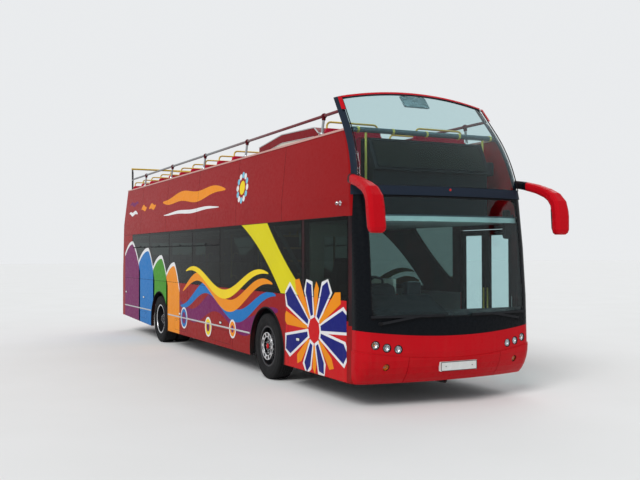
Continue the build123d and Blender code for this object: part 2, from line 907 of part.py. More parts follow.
def destination_display():
    x_low, x_high = nose_x(display_low) - display_clear, nose_x(display_high) - display_clear
    back, toe = x_high - display_depth, x_low - display_toe
    points = [(back, deck_floor_top), (toe, deck_floor_top), (toe, display_low), (x_low, display_low)]
    points += [(x_high, display_high), (back, display_high)]
    return across(side_polygon(points), -display_half, display_half)


# Seats: one side profile for every double seat
cushion_depth = 430.0
cushion_rise = 400.0
cushion_thick = 80.0
cushion_tip = 20.0
back_thick = 60.0
back_lean = 70.0
leg_half = 120.0
leg_width = 50.0


def double_seat(x_back, z_floor, back_height, y_low, y_high, y_leg):
    """A double seat facing forward; x_back is where the top of its back is."""
    z_pan = z_floor + cushion_rise
    z_cushion = z_pan + cushion_thick
    z_top = z_floor + back_height
    x_hip = x_back + back_lean
    x_knee = x_hip + back_thick + cushion_depth
    points = [(x_back, z_top), (x_back + back_thick, z_top), (x_hip + back_thick, z_cushion)]
    points += [(x_knee, z_cushion + cushion_tip), (x_knee, z_pan), (x_hip, z_pan)]
    seat = across(side_polygon(points), y_low, y_high)
    x_leg = x_knee - cushion_depth / 2
    return seat + block(x_leg - leg_half, x_leg + leg_half, y_leg, y_leg + leg_width, z_floor, z_pan)


# Upper deck seats: rows counted forward from the tail, and extra rows beside the stairs
deck_seat_y = (260.0, 1105.0)
deck_back_height = 1090.0
deck_leg_y = 455.0
last_row_setback = 495.0
row_pitch = 745.0
front_row = 1600.0
kerb_front_pitch = 680.0
kerb_front_rows = 5
x_last_row = x_tail + last_row_setback
row_room = ahead(front_row) - kerb_front_rows * kerb_front_pitch - x_last_row
row_count = int(row_room / row_pitch) + 1
loop_rise = 110.0
loop_bar = 26.0
loop_inset = 30.0


def upper_seat_places():
    """The X of each upper seat's back, with the side that it is on."""
    rows = [x_last_row + k * row_pitch for k in range(row_count)]
    places = [(x, -1) for x in rows] + [(x, 1) for x in rows] + [(ahead(front_row), -1)]
    return places + [(ahead(front_row) - k * kerb_front_pitch, 1) for k in range(kerb_front_rows)]


def on_side(shape, side):
    return shape if side > 0 else mirrored(shape)


def upper_seats():
    seats = []
    for x, side in upper_seat_places():
        seats.append(on_side(double_seat(x, deck_floor_top, deck_back_height, *deck_seat_y, deck_leg_y), side))
    return seats


def seat_loop(x_back):
    """The grab rail on top of a double seat's back."""
    z_low = deck_floor_top + deck_back_height
    z_high = z_low + loop_rise
    y_low, y_high = deck_seat_y[0] + loop_inset, deck_seat_y[1] - loop_inset
    x_low = x_back + (back_thick - loop_bar) / 2
    x_high = x_low + loop_bar
    hollow = block(x_low, x_high, y_low + loop_bar, y_high - loop_bar, z_low, z_high - loop_bar)
    return block(x_low, x_high, y_low, y_high, z_low, z_high) - hollow


def upper_seat_rails():
    return [on_side(seat_loop(x), side) for x, side in upper_seat_places()]


# Lower saloon: rows counted back to the step, then on the raised floor back to the engine bay
low_first_row = -1450.0
low_row_pitch = 750.0
low_row_room = 640.0
high_first_row = 210.0
high_row_pitch = 825.0
high_row_room = 150.0
saloon_back_height = 1000.0
saloon_seat_y = (310.0, 1170.0)
saloon_leg_y = 445.0
pole_radius = 17.0
step_pole_clear = 350.0
x_step_pole = from_rear_axle(step_one) + step_pole_clear
pole_places = ((ahead(-850.0), 330.0), (ahead(-2500.0), 280.0), (x_step_pole, 280.0))


def rows_back(x_first, pitch, x_limit):
    """The X of each row from the first one back to a limit."""
    count = int((x_first - x_limit) / pitch) + 1
    return [x_first - k * pitch for k in range(count)]


def lower_seats():
    low_limit = from_rear_axle(step_one) + low_row_room
    places = [(x, floor_top) for x in rows_back(ahead(low_first_row), low_row_pitch, low_limit)]
    high_rows = rows_back(from_rear_axle(high_first_row), high_row_pitch, x_bay + high_row_room)
    places += [(x, rear_floor_top) for x in high_rows]
    seats = []
    for x, z_floor in places:
        seats += both_sides(double_seat(x, z_floor, saloon_back_height, *saloon_seat_y, saloon_leg_y))
    return seats


def saloon_poles():
    ceiling = deck_floor_top - deck_slab
    poles = []
    for x, y in pole_places:
        poles += both_sides(rod((x, y, floor_top), (x, y, ceiling), pole_radius))
    return poles


# Cab, measured back from the nose
driver_x = 1440.0
driver_y = -790.0
driver_half = 240.0
hand_wheel_x = 860.0
hand_wheel_z = 1420.0
hand_wheel_radius = 225.0
hand_wheel_rim = 16.0
hand_wheel_tilt = 60.0
column_length = 230.0
column_radius = 30.0
hand_wheel_sides = 32
spoke_width = 40.0
spoke_thick = 14.0
boss_cap_radius = 55.0
boss_cap_height = 30.0
desk_rear = 760.0
fascia_setback = 400.0
desk_end = -100.0
fascia = 40.0
desk_lip = 1120.0
desk_top = 1320.0
desk_foot = 1080.0
ledge_top = 1130.0
ledge_foot = 1060.0
ledge_thick = 80.0
door_inner_edge = 950.0
cab_rail_top = 1500.0
cab_pane = (-1000.0, -560.0, 1500.0, 2050.0)

# The driver's seat: (distance ahead of its back, height above the cab floor)
driver_outline = ((0, 1150), (80, 1150), (150, 480), (560, 500), (560, 400), (70, 380))
driver_pedestal = (150.0, 450.0, 150.0, 400.0)


def driver_seat():
    z, x = cab_floor_top, behind_nose(driver_x)
    outline = side_polygon([(x + forward, z + up) for forward, up in driver_outline])
    seat = across(outline, driver_y - driver_half, driver_y + driver_half)
    near, far, half, top = driver_pedestal
    return seat + block(x + near, x + far, driver_y - half, driver_y + half, z, z + top)


def dashboard():
    """The driver's desk, and a low shelf across the rest of the front."""
    outer = inner_half - seat_gap
    x_back, x_face = behind_nose(desk_rear), behind_nose(fascia_setback)
    under = desk_top - 340.0
    points = [(x_back, desk_lip), (x_back + 60, desk_top - 20), (x_back + 260, desk_top), (x_nose, desk_foot)]
    points += [(x_nose, desk_foot - 180), (x_face + fascia, 640.0), (x_face + fascia, floor_top)]
    points += [(x_face, floor_top), (x_face, 700.0), (x_back + 140, under)]
    desk = across(side_polygon(points), -outer, desk_end)
    x_lip = x_face + 100
    ledge = [(x_face + fascia, floor_top), (x_face, floor_top), (x_face, ledge_top - 30), (x_lip, ledge_top)]
    ledge += [(x_nose, ledge_foot), (x_nose, ledge_foot - ledge_thick), (x_lip, ledge_top - 90)]
    ledge += [(x_face + fascia, ledge_top - 130)]
    shelf = across(side_polygon(ledge), desk_end, outer)
    return (desk + shelf) & lower_envelope(wall)


def steering_wheel():
    turns = [pi / 3 * k for k in range(6)]
    section = [(hand_wheel_rim * sin(turn), hand_wheel_radius + hand_wheel_rim * cos(turn)) for turn in turns]
    ring = faceted_ring(section, hand_wheel_sides)
    spokes = Box(2 * hand_wheel_radius, spoke_width, spoke_thick)
    spokes = spokes + Box(spoke_width, 2 * hand_wheel_radius, spoke_thick)
    column = Pos(0, 0, -column_length / 2) * Cylinder(column_radius, column_length)
    wheel = ring + spokes + Cylinder(boss_cap_radius, boss_cap_height) + column
    place = Pos(behind_nose(hand_wheel_x), driver_y, hand_wheel_z)
    return place * Rot(0, hand_wheel_tilt - 90, 0) * wheel - dashboard()


def cab_partition():
    """The bulkhead behind the driver and the fixed part of the gangway side."""
    ceiling = deck_floor_top - deck_slab
    x = behind_nose(cab_rear)
    back = block(x - partition, x, -inner_half + seat_gap, cab_side, floor_top, ceiling)
    pane_low, pane_high, z_low, z_high = cab_pane
    back = back - block(x - 2 * partition, x + partition, pane_low, pane_high, z_low, z_high)
    x_low, x_high = behind_nose(door_inner_edge), behind_nose(desk_rear) - seat_gap
    return [back, block(x_low, x_high, cab_side - partition, cab_side, cab_floor_top, cab_rail_top)]


def cab_door():
    x_low, x_high = behind_nose(cab_rear) + seat_gap, behind_nose(door_inner_edge) - door_gap
    return block(x_low, x_high, cab_side - partition, cab_side, cab_floor_top + door_gap, cab_rail_top)


# Door leaves
door_middle = (door_rear + door_front) / 2
rear_leaf_span = (behind_nose(door_rear) + seat_gap, behind_nose(door_middle) - leaf_meeting_gap / 2)
front_leaf_span = (behind_nose(door_middle) + leaf_meeting_gap / 2, behind_nose(door_front) - seat_gap)
leaf_low = floor_top + door_gap
leaf_high = door_head - door_gap


def leaf_window(x_low, x_high, y_low, y_high):
    b = leaf_border
    return block(x_low + b, x_high - b, y_low, y_high, leaf_low + leaf_foot, leaf_high - b)


def door_leaf(x_low, x_high):
    y_low = half_width - leaf_thickness
    frame = block(x_low, x_high, y_low, half_width, leaf_low, leaf_high)
    return frame - leaf_window(x_low, x_high, y_low, half_width)


def door_glass(x_low, x_high):
    y_low = half_width - leaf_thickness + leaf_glass_inset
    return leaf_window(x_low, x_high, y_low, y_low + glass)


# Front axle and steering
boss_radius = 55.0
boss_low = 400.0
boss_high = 545.0
pin_radius = 20.0
ear_thick = 36.0
ear_gap = 5.0
riser_near = 92.0
riser_far = 130.0
riser_half = 45.0
arm_length = 200.0
arm_half = 16.0
arm_thick = 30.0
arm_eye = 28.0
stud_radius = 12.0
track_rod_z = 205.0
track_rod_radius = 14.0
spindle_radius = 45.0
web_near = 62.0
web_far = 85.0
low_ear = (boss_low - ear_gap - ear_thick, boss_low - ear_gap)
high_ear = (boss_high + ear_gap, boss_high + ear_gap + ear_thick)


def front_axle():
    x = x_front_axle
    beam = block(x - 50, x + 50, riser_near - king_pin_y, king_pin_y - riser_near, beam_bottom, beam_top)
    far, near = king_pin_y - riser_far, king_pin_y - riser_near
    riser = block(x - riser_half, x + riser_half, far, near, beam_bottom, boss_high)
    riser = riser + block(x - riser_half, x + riser_half, far, king_pin_y, boss_low, boss_high)
    riser = riser + rod((x, king_pin_y, boss_low), (x, king_pin_y, boss_high), boss_radius)
    riser = riser + rod((x, king_pin_y, low_ear[0]), (x, king_pin_y, high_ear[1]), pin_radius)
    return beam + riser + mirrored(riser)


def knuckle():
    """The kerb side knuckle: two ears on the king pin, a web, the spindle and the steering arm."""
    x, y = x_front_axle, king_pin_y
    body = block(x - 50, x + 50, y + web_near, y + web_far, low_ear[0], high_ear[1])
    for z_low, z_high in (low_ear, high_ear):
        body = body + rod((x, y, z_low), (x, y, z_high), boss_radius)
        body = body + block(x - riser_half, x + riser_half, y, y + web_far, z_low, z_high)
    body = body + rod((x, y + web_near, tyre_radius), (x, wheel_y + 40, tyre_radius), spindle_radius)
    x_eye = x - arm_length
    z_eye = track_rod_z + track_rod_radius + ear_gap
    arm = [(x, low_ear[1]), (x, low_ear[0]), (x_eye + arm_eye, z_eye), (x_eye - arm_eye, z_eye)]
    arm += [(x_eye - arm_eye, z_eye + arm_thick), (x_eye + arm_eye, z_eye + arm_thick)]
    body = body + across(side_polygon(arm), y - arm_half, y + arm_half)
    body = body + rod((x_eye, y, z_eye), (x_eye, y, z_eye + arm_thick), arm_eye)
    body = body + rod((x_eye, y, track_rod_z - track_rod_radius), (x_eye, y, z_eye + arm_thick), stud_radius)
    return body - rod((x, y, 0), (x, y, 1000), pin_radius + bearing_gap)


def track_rod():
    x = x_front_axle - arm_length
    z = track_rod_z
    bar = rod((x, -king_pin_y, z), (x, king_pin_y, z), track_rod_radius - 2)
    for side in (-1, 1):
        y = side * king_pin_y
        bar = bar + rod((x, y, z - track_rod_radius), (x, y, z + track_rod_radius), arm_eye)
    for side in (-1, 1):
        y = side * king_pin_y
        bar = bar - rod((x, y, 0), (x, y, 1000), stud_radius + bearing_gap)
    return bar


# Rear axle
rear_spindle_radius = 60.0
bulge_radius = 165.0


def rear_axle():
    x, z, half = x_rear_axle, tyre_radius, rear_beam_half
    reach = rear_box_inside - 30.0
    beam = block(x - half, x + half, -reach, reach, z - half, z + half)
    beam = beam + rod((x - 150, 0, z), (x + 190, 0, z), bulge_radius)
    return beam + rod((x, -wheel_y - 30, z), (x, wheel_y + 30, z), rear_spindle_radius)


# Wheels and tyres
bead_radius = 286.0
rim_depth = 14.0
rim_half = 104.0
flange_height = 14.0
flange_thick = 8.0
disc_thick = 16.0
hand_holes = 10
hole_radius = 26.0
hole_circle = 178.0
hole_sides = 12
ring_sides = 40
disc_rake = 50.0
front_dish = 70.0
outer_dish = -60.0
inner_dish = 90.0
hub_radius = 95.0
crown_half = 104.0
shoulder_half = 131.0
shoulder_ring = 450.0
bulge_ring = 372.0
rim_radius = bead_radius - bearing_gap
flange_radius = bead_radius + flange_height


def on_axle(y_centre, x_axle):
    """The place of a wheel's own frame, whose Z runs outwards along the axle."""
    return Plane(origin=(x_axle, y_centre, tyre_radius), x_dir=(1, 0, 0), z_dir=(0, 1, 0))


def rim(y_centre, x_axle):
    w, f = rim_half, flange_thick
    low = rim_radius - rim_depth
    points = [(-w, rim_radius), (-w, flange_radius), (-w - f, flange_radius), (-w - f, low), (w + f, low)]
    points += [(w + f, flange_radius), (w, flange_radius), (w, rim_radius)]
    return on_axle(y_centre, x_axle) * faceted_ring(points, ring_sides)


def wheel_disc(y_centre, x_axle, dish):
    """The pressed disc with its ring of hand holes, from its hub out to the rim."""
    outer, inner, edge = rim_radius - rim_depth / 2, hub_radius - 5, dish - disc_rake
    points = [(edge, outer), (edge - disc_thick, outer), (dish - disc_thick, inner), (dish, inner)]
    disc = faceted_ring(points, ring_sides)
    for k in range(hand_holes):
        angle = 2 * pi * k / hand_holes
        place = Pos(hole_circle * cos(angle), hole_circle * sin(angle), 0)
        disc = disc - place * extrude(RegularPolygon(hole_radius, hole_sides), amount=rim_half, both=True)
    return on_axle(y_centre, x_axle) * disc


def front_wheel():
    centre = (x_front_axle, tyre_radius)
    wheel = rim(wheel_y, x_front_axle) + wheel_disc(wheel_y, x_front_axle, front_dish)
    wheel = wheel + disc_y(centre, hub_radius, wheel_y - 30, wheel_y + 95)
    return wheel - disc_y(centre, spindle_radius + bearing_gap, wheel_y - 40, wheel_y + 50)


def rear_wheel():
    centre = (x_rear_axle, tyre_radius)
    inner_y = wheel_y - twin_spacing
    wheel = rim(wheel_y, x_rear_axle) + rim(inner_y, x_rear_axle)
    wheel = wheel + wheel_disc(wheel_y, x_rear_axle, outer_dish)
    wheel = wheel + wheel_disc(inner_y, x_rear_axle, inner_dish)
    wheel = wheel + disc_y(centre, hub_radius, inner_y + 30, wheel_y + 60)
    return wheel - disc_y(centre, rear_spindle_radius + bearing_gap, inner_y, wheel_y + 40)


def tyre(y_centre, x_axle):
    """Beads inside the rim's flanges, walls that bulge and a flat crown with bevelled shoulders."""
    half = tyre_width / 2
    bead, lip = rim_half - bearing_gap, rim_half + flange_thick
    r_lip = flange_radius + bearing_gap
    right = [(bead, bead_radius), (bead, r_lip), (lip, r_lip), (half, bulge_ring)]
    right += [(shoulder_half, shoulder_ring), (crown_half, tyre_radius)]
    left = [(-y, r) for y, r in reversed(right)]
    return on_axle(y_centre, x_axle) * faceted_ring(right + left, ring_sides)


def rear_tyres():
    return [tyre(wheel_y, x_rear_axle), tyre(wheel_y - twin_spacing, x_rear_axle)]


# Mirrors: one tube that springs forward from the corner and turns down into the head.
# Each section: back from the mirror's front, out from the body's side, height, pitch, depth, width
mirror_sections = (
    (820.0, -40.0, 2728.0, 14.0, 96.0, 96.0),
    (690.0, 42.0, 2700.0, 14.0, 108.0, 100.0),
    (460.0, 59.0, 2641.0, 17.0, 118.0, 112.0),
    (280.0, 66.0, 2575.0, 26.0, 126.0, 140.0),
    (180.0, 69.0, 2520.0, 40.0, 134.0, 172.0),
    (108.0, 72.0, 2440.0, 64.0, 134.0, 196.0),
    (82.0, 74.0, 2340.0, 82.0, 130.0, 204.0),
    (74.0, 74.0, 2271.0, 86.0, 130.0, 205.0),
    (64.0, 66.0, 2110.0, 87.0, 128.0, 202.0),
    (66.0, 64.0, 2072.0, 90.0, 112.0, 180.0),
    (70.0, 63.0, 2050.0, 90.0, 70.0, 130.0),
)
mirror_bevel = 0.3


def mirror_section(back, out, z, pitch, depth, width):
    """A rectangle with cut corners, square to the tube that leans down by its pitch."""
    x_dir = (sin(radians(pitch)), 0, cos(radians(pitch)))
    z_dir = (cos(radians(pitch)), 0, -sin(radians(pitch)))
    place = Plane(origin=(x_nose + mirror_reach - back, half_width + out, z), x_dir=x_dir, z_dir=z_dir)
    u, v, cut = depth / 2, width / 2, mirror_bevel * depth
    near = 0.3 * cut
    corner = [(u, v - cut), (u - near, v - near), (u - cut, v)]
    points = corner + [(-a, b) for a, b in reversed(corner)] + [(-a, -b) for a, b in corner]
    points += [(a, -b) for a, b in reversed(corner)]
    return place * make_face(Polyline(*points, close=True))


def mirror_arm():
    tube = loft([mirror_section(*section) for section in mirror_sections], ruled=True)
    return tube - upper_envelope(-seat_gap)


def mirrors():
    return both_sides(mirror_arm())


# Wipers: blades that lie along the foot of the glass, and the pivots below it
wiper_near = 200.0
wiper_far = 1130.0
wiper_z = 1075.0
wiper_strip = 26.0
wiper_arm_half = 15.0
wiper_arm_reach = 480.0
wiper_pivot_y = 1018.0
wiper_pivot_z = 1008.0
wiper_pivot_radius = 22.0
wiper_clear = 12.0
wiper_thick = 18.0


def wipers():
    z_top = wiper_z + wiper_strip
    strip = [(wiper_near, wiper_z), (wiper_far, wiper_z), (wiper_far, z_top), (wiper_near, z_top)]
    y, z = wiper_pivot_y, wiper_pivot_z
    y_clip = y - wiper_arm_reach
    arm = [(y, z - wiper_arm_half), (y, z + wiper_arm_half), (y_clip, z_top), (y_clip, wiper_z)]
    skin = lower_skin(-wiper_clear - wiper_thick, -wiper_clear)
    blade = skin & along_x(front_polygon(strip), x_screen, x_nose + room)
    blade = blade + (skin & along_x(front_polygon(arm), x_screen, x_nose + room))
    x_face = nose_x(z) - bow_fall(y)
    pivot = rod((x_face - panel, y, z), (x_face + wiper_clear + wiper_thick, y, z), wiper_pivot_radius)
    return both_sides(blade + (pivot - lower_envelope(-seat_gap)))


makers = {
    "chassis_frame": chassis_frame,
    "engine_block": engine_block,
    "lower_floor": lower_floor,
    "upper_deck_floor": upper_deck_floor,
    "side_wall_offside": side_wall_offside,
    "side_wall_nearside": side_wall_nearside,
    "swoosh_pillars": swoosh_pillars,
    "saloon_windows": saloon_windows,
    "upper_sides": upper_sides,
    "parapet_capping": parapet_capping,
    "front_panel": front_panel,
    "front_bumper": front_bumper,
    "windscreen_surround": windscreen_surround,
    "windscreen_lower": windscreen_lower,
    "windscreen_band": windscreen_band,
    "windscreen_upper": windscreen_upper,
    "upper_screen_frame": upper_screen_frame,
    "rear_wall": rear_wall,
    "rear_upper_panel": rear_upper_panel,
    "engine_lid": engine_lid,
    "stairs": stairs,
    "stair_hood": stair_hood,
    "deck_rails": deck_rails,
    "front_rail": front_rail,
    "upper_seats": upper_seats,
    "upper_seat_rails": upper_seat_rails,
    "lower_seats": lower_seats,
    "saloon_poles": saloon_poles,
    "driver_seat": driver_seat,
    "dashboard": dashboard,
    "steering_wheel": steering_wheel,
    "cab_partition": cab_partition,
    "cab_door": cab_door,
    "destination_display": destination_display,
    "front_lamps": front_lamps,
    "tail_lamps": tail_lamps,
    "mirrors": mirrors,
    "wipers": wipers,
    "number_plates": number_plates,
    "door_leaf_rear": lambda: door_leaf(*rear_leaf_span),
    "door_leaf_front": lambda: door_leaf(*front_leaf_span),
    "door_glass_rear": lambda: door_glass(*rear_leaf_span),
    "door_glass_front": lambda: door_glass(*front_leaf_span),
    "front_axle": front_axle,
    "knuckle_left": knuckle,
    "knuckle_right": lambda: mirrored(knuckle()),
    "track_rod": track_rod,
    "wheel_front_left": front_wheel,
    "wheel_front_right": lambda: mirrored(front_wheel()),
    "tyre_front_left": lambda: tyre(wheel_y, x_front_axle),
    "tyre_front_right": lambda: mirrored(tyre(wheel_y, x_front_axle)),
    "rear_axle": rear_axle,
    "wheel_rear_left": rear_wheel,
    "wheel_rear_right": lambda: mirrored(rear_wheel()),
    "tyre_rear_left": rear_tyres,
    "tyre_rear_right": lambda: [mirrored(piece) for piece in rear_tyres()],
}

for name, maker in makers.items():
    solids = solids_of(maker())
    shape = solids[0] if len(solids) == 1 else Compound(children=solids)
    export_step(shape, f"parts/{name}.step")
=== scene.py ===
from math import asin, cos, pi, radians, sin, sqrt

import bmesh
import bpy
from mathutils import Matrix, Vector


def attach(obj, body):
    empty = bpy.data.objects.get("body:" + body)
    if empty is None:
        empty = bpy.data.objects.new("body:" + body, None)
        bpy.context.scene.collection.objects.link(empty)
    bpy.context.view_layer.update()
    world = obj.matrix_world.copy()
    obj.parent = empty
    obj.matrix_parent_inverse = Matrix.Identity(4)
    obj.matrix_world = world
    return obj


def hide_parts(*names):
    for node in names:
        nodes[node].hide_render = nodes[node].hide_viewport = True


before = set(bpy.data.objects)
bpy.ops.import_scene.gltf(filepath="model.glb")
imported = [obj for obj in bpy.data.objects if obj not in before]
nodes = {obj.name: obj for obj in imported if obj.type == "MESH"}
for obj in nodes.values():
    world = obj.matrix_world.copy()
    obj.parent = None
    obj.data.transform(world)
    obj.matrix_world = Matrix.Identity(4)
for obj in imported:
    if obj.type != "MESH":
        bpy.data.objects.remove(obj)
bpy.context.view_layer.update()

# Places of the frame that the pieces are set from, in metres
half_width = 1.25
x_nose = 5.805
x_tail = -6.195
x_front_axle = 2.805
x_rear_axle = -2.905
x_screen = 5.44
x_side_end = -5.865
skirt_bottom = 0.29
waist = 1.27
deck_line = 2.27
band_bottom = 2.52
parapet_top = 3.325
tyre_radius = 0.478
arch_radius = 0.62
arch_forward = 0.045
arch_drop = 0.062
stair_pillar = (4.07, 4.14)
side_lean = 0.1
side_names = {-1: "road", 1: "kerb"}


def linear(red, green, blue):
    """Scene colour of a colour given in steps of 255."""
    def channel(value):
        value = value / 255
        return value / 12.92 if value <= 0.04045 else ((value + 0.055) / 1.055) ** 2.4
    return (channel(red), channel(green), channel(blue), 1.0)


# Camera, set to the view of the photograph
camera_place = Vector((13.965, -5.912, 1.826))
camera_yaw = 2.6795
camera_pitch = 0.0162
camera_roll = -0.0026
camera_lens = 46.54


def make_camera():
    data = bpy.data.cameras.new("camera")
    camera = bpy.data.objects.new("camera", data)
    bpy.context.scene.collection.objects.link(camera)
    level = cos(camera_pitch)
    ahead = Vector((cos(camera_yaw) * level, sin(camera_yaw) * level, sin(camera_pitch)))
    right = Vector((sin(camera_yaw), -cos(camera_yaw), 0.0))
    up = right.cross(ahead)
    turned = cos(camera_roll) * right + sin(camera_roll) * up
    up = cos(camera_roll) * up - sin(camera_roll) * right
    rows = Matrix((turned, up, -ahead)).transposed()
    camera.matrix_world = Matrix.Translation(camera_place) @ rows.to_4x4()
    data.lens = camera_lens
    data.sensor_width = 36.0
    data.clip_end = 200.0
    bpy.context.scene.camera = camera


make_camera()


# Node trees
class Finish:
    """A material, with short calls for the nodes that it is built from."""

    def __init__(self, name):
        self.material = bpy.data.materials.new(name)
        self.material.use_nodes = True
        self.tree = self.material.node_tree
        self.shader = self.tree.nodes["Principled BSDF"]
        self.end = self.tree.nodes["Material Output"]
        self.place = self.node("ShaderNodeTexCoord").outputs["Object"]

    def node(self, kind, **values):
        made = self.tree.nodes.new(kind)
        for key, value in values.items():
            setattr(made, key, value)
        return made

    def put(self, socket, value):
        if isinstance(value, bpy.types.NodeSocket):
            self.tree.links.new(value, socket)
        else:
            socket.default_value = value

    def set(self, **values):
        """Values of the shader's own sockets, with _ for a space in their names."""
        for key, value in values.items():
            self.put(self.shader.inputs[key.replace("_", " ")], value)
        return self

    def stretched(self, scale):
        made = self.node("ShaderNodeMapping")
        self.put(made.inputs["Vector"], self.place)
        made.inputs["Scale"].default_value = scale
        return made.outputs[0]

    def noise(self, scale, detail=3.0, place=None, roughness=0.5):
        made = self.node("ShaderNodeTexNoise")
        self.put(made.inputs["Vector"], place or self.place)
        made.inputs["Scale"].default_value = scale
        made.inputs["Detail"].default_value = detail
        made.inputs["Roughness"].default_value = roughness
        return made.outputs["Fac"]

    def cells(self, scale):
        made = self.node("ShaderNodeTexVoronoi")
        self.put(made.inputs["Vector"], self.place)
        made.inputs["Scale"].default_value = scale
        return made.outputs["Distance"]

    def math(self, operation, first, second=0.0, clamp=False):
        made = self.node("ShaderNodeMath", operation=operation, use_clamp=clamp)
        self.put(made.inputs[0], first)
        self.put(made.inputs[1], second)
        return made.outputs[0]

    def spread(self, value, low, high, to_low=0.0, to_high=1.0):
        """value taken from one range to another, held at its ends."""
        made = self.node("ShaderNodeMapRange")
        for socket, given in zip(made.inputs[:5], (value, low, high, to_low, to_high)):
            self.put(socket, given)
        return made.outputs[0]

    def mix(self, share, first, second):
        made = self.node("ShaderNodeMix", data_type="RGBA")
        self.put(made.inputs[0], share)
        self.put(made.inputs[6], first)
        self.put(made.inputs[7], second)
        return made.outputs[2]

    def axis(self, letter):
        made = self.node("ShaderNodeSeparateXYZ")
        self.put(made.inputs[0], self.place)
        return made.outputs[letter]

    def bump(self, height, depth, strength=1.0):
        made = self.node("ShaderNodeBump")
        self.put(made.inputs["Height"], height)
        made.inputs["Distance"].default_value = depth
        made.inputs["Strength"].default_value = strength
        if self.shader.inputs["Normal"].is_linked:
            self.put(made.inputs["Normal"], self.shader.inputs["Normal"].links[0].from_socket)
        self.set(Normal=made.outputs[0])
        return self

    def both(self, first, second):
        return self.math("MULTIPLY", first, second)

    def either(self, first, second):
        return self.math("MAXIMUM", first, second)

    def between(self, value, low, high):
        """1 where value lies between low and high."""
        above = self.math("GREATER_THAN", value, low)
        return self.both(above, self.math("LESS_THAN", value, high))

    def squares(self, first, second):
        """The sum of two squares."""
        return self.math("ADD", self.math("POWER", first, 2.0), self.math("POWER", second, 2.0))


def shade(tone, factor):
    return (tone[0] * factor, tone[1] * factor, tone[2] * factor, 1.0)


road_film = linear(120, 108, 92)
bare_rust = linear(96, 52, 30)
glass_smear = 0.008
thread_rate = 150.0


def painted(name, tone, rough=0.34, coat=0.0, film=0.14, pattern=None):
    """Sprayed paint: a faint ripple, patchy gloss and a film of road dust low down."""
    finish = Finish(name)
    base = pattern(finish) if pattern else tone
    patches = finish.noise(1.7, 4.0)
    base = finish.mix(finish.spread(patches, 0.35, 0.7, 0.0, 0.22), base, shade(tone, 0.72))
    height = finish.axis("Z")
    dust = finish.spread(height, 0.25, 1.0, film, 0.0)
    streaks = finish.noise(6.0, 5.0, finish.stretched((3.0, 3.0, 0.5)))
    dust = finish.both(dust, finish.spread(streaks, 0.35, 0.75))
    finish.set(Base_Color=finish.mix(dust, base, road_film))
    wear_and_painted_reflection = finish.noise(22.0, 5.0)
    gloss = finish.spread(wear_and_painted_reflection, 0.3, 0.7, rough - 0.06, rough + 0.1)
    finish.set(Roughness=finish.math("ADD", gloss, dust))
    finish.set(Coat_Weight=coat, Coat_Roughness=0.06, Specular_IOR_Level=0.05)
    finish.bump(finish.noise(130.0, 2.0), 0.0004, 0.25)
    return finish.material


def moulded(name, tone, rough=0.5, grain=420.0, depth=0.0006, coat=0.0):
    """Moulded plastic or rubber with a fine grain and scuffs."""
    finish = Finish(name)
    scuffs = finish.spread(finish.noise(14.0, 6.0, roughness=0.7), 0.5, 0.75, 0.0, 0.35)
    finish.set(Base_Color=finish.mix(scuffs, tone, shade(tone, 1.6)))
    finish.set(Roughness=finish.spread(finish.noise(9.0, 4.0), 0.3, 0.7, rough - 0.08, rough + 0.12))
    finish.set(Coat_Weight=coat, Specular_IOR_Level=0.12)
    finish.bump(finish.cells(grain), depth, 0.5)
    return finish.material


def metal(name, tone, rough=0.35, metallic=1.0, rust=0.0, pattern=None):
    """Cast or drawn metal with a brushed grain, and rust where it is bare."""
    finish = Finish(name)
    base = pattern(finish) if pattern else tone
    spots = finish.spread(finish.noise(11.0, 8.0, roughness=0.65), 0.55, 0.72, 0.0, rust)
    finish.set(Base_Color=finish.mix(spots, base, bare_rust))
    finish.set(Metallic=finish.spread(spots, 0.0, 1.0, metallic, 0.0))
    finish.set(Roughness=finish.spread(finish.noise(30.0, 4.0), 0.3, 0.7, rough - 0.06, rough + 0.14))
    finish.bump(finish.noise(260.0, 4.0), 0.0005, 0.4)
    return finish.material


def glazed(name, tint, ior=1.25):
    """Glass: clear to lamps, with faint dust smears in its gloss."""
    finish = Finish(name)
    finish.set(Base_Color=tint, Transmission_Weight=1.0, IOR=ior)
    wiped = finish.noise(3.0, 6.0, finish.stretched((1.0, 1.0, 2.5)))
    finish.set(Roughness=finish.spread(wiped, 0.45, 0.8, 0.0, glass_smear))
    clear = finish.node("ShaderNodeBsdfTransparent")
    clear.inputs[0].default_value = tint
    path = finish.node("ShaderNodeLightPath")
    either = finish.node("ShaderNodeMixShader")
    finish.put(either.inputs[0], path.outputs["Is Shadow Ray"])
    finish.put(either.inputs[1], finish.shader.outputs[0])
    finish.put(either.inputs[2], clear.outputs[0])
    finish.put(finish.end.inputs["Surface"], either.outputs[0])
    return finish.material


def woven(name, tone, thread):
    """Woven cloth: threads across the seat and threads along it, with a fleck of a second colour."""
    finish = Finish(name)
    waves = []
    for direction, place in (("Y", finish.place), ("DIAGONAL", finish.stretched((1.0, 0.0, 1.0)))):
        made = finish.node("ShaderNodeTexWave", bands_direction=direction)
        finish.put(made.inputs["Vector"], place)
        made.inputs["Scale"].default_value = thread_rate
        made.inputs["Distortion"].default_value = 0.6
        waves.append(made.outputs["Fac"])
    weave = finish.both(waves[0], waves[1])
    flecks = finish.spread(finish.cells(70.0), 0.0, 0.45, 1.0, 0.0)
    flecks = finish.both(flecks, finish.spread(finish.noise(9.0), 0.45, 0.6))
    base = finish.mix(flecks, tone, thread)
    finish.set(Base_Color=finish.mix(finish.spread(weave, 0.0, 1.0, 0.35, 0.0), base, shade(tone, 0.4)))
    finish.set(Roughness=0.9, Sheen_Weight=0.3)
    finish.bump(weave, 0.0008, 0.6)
    return finish.material


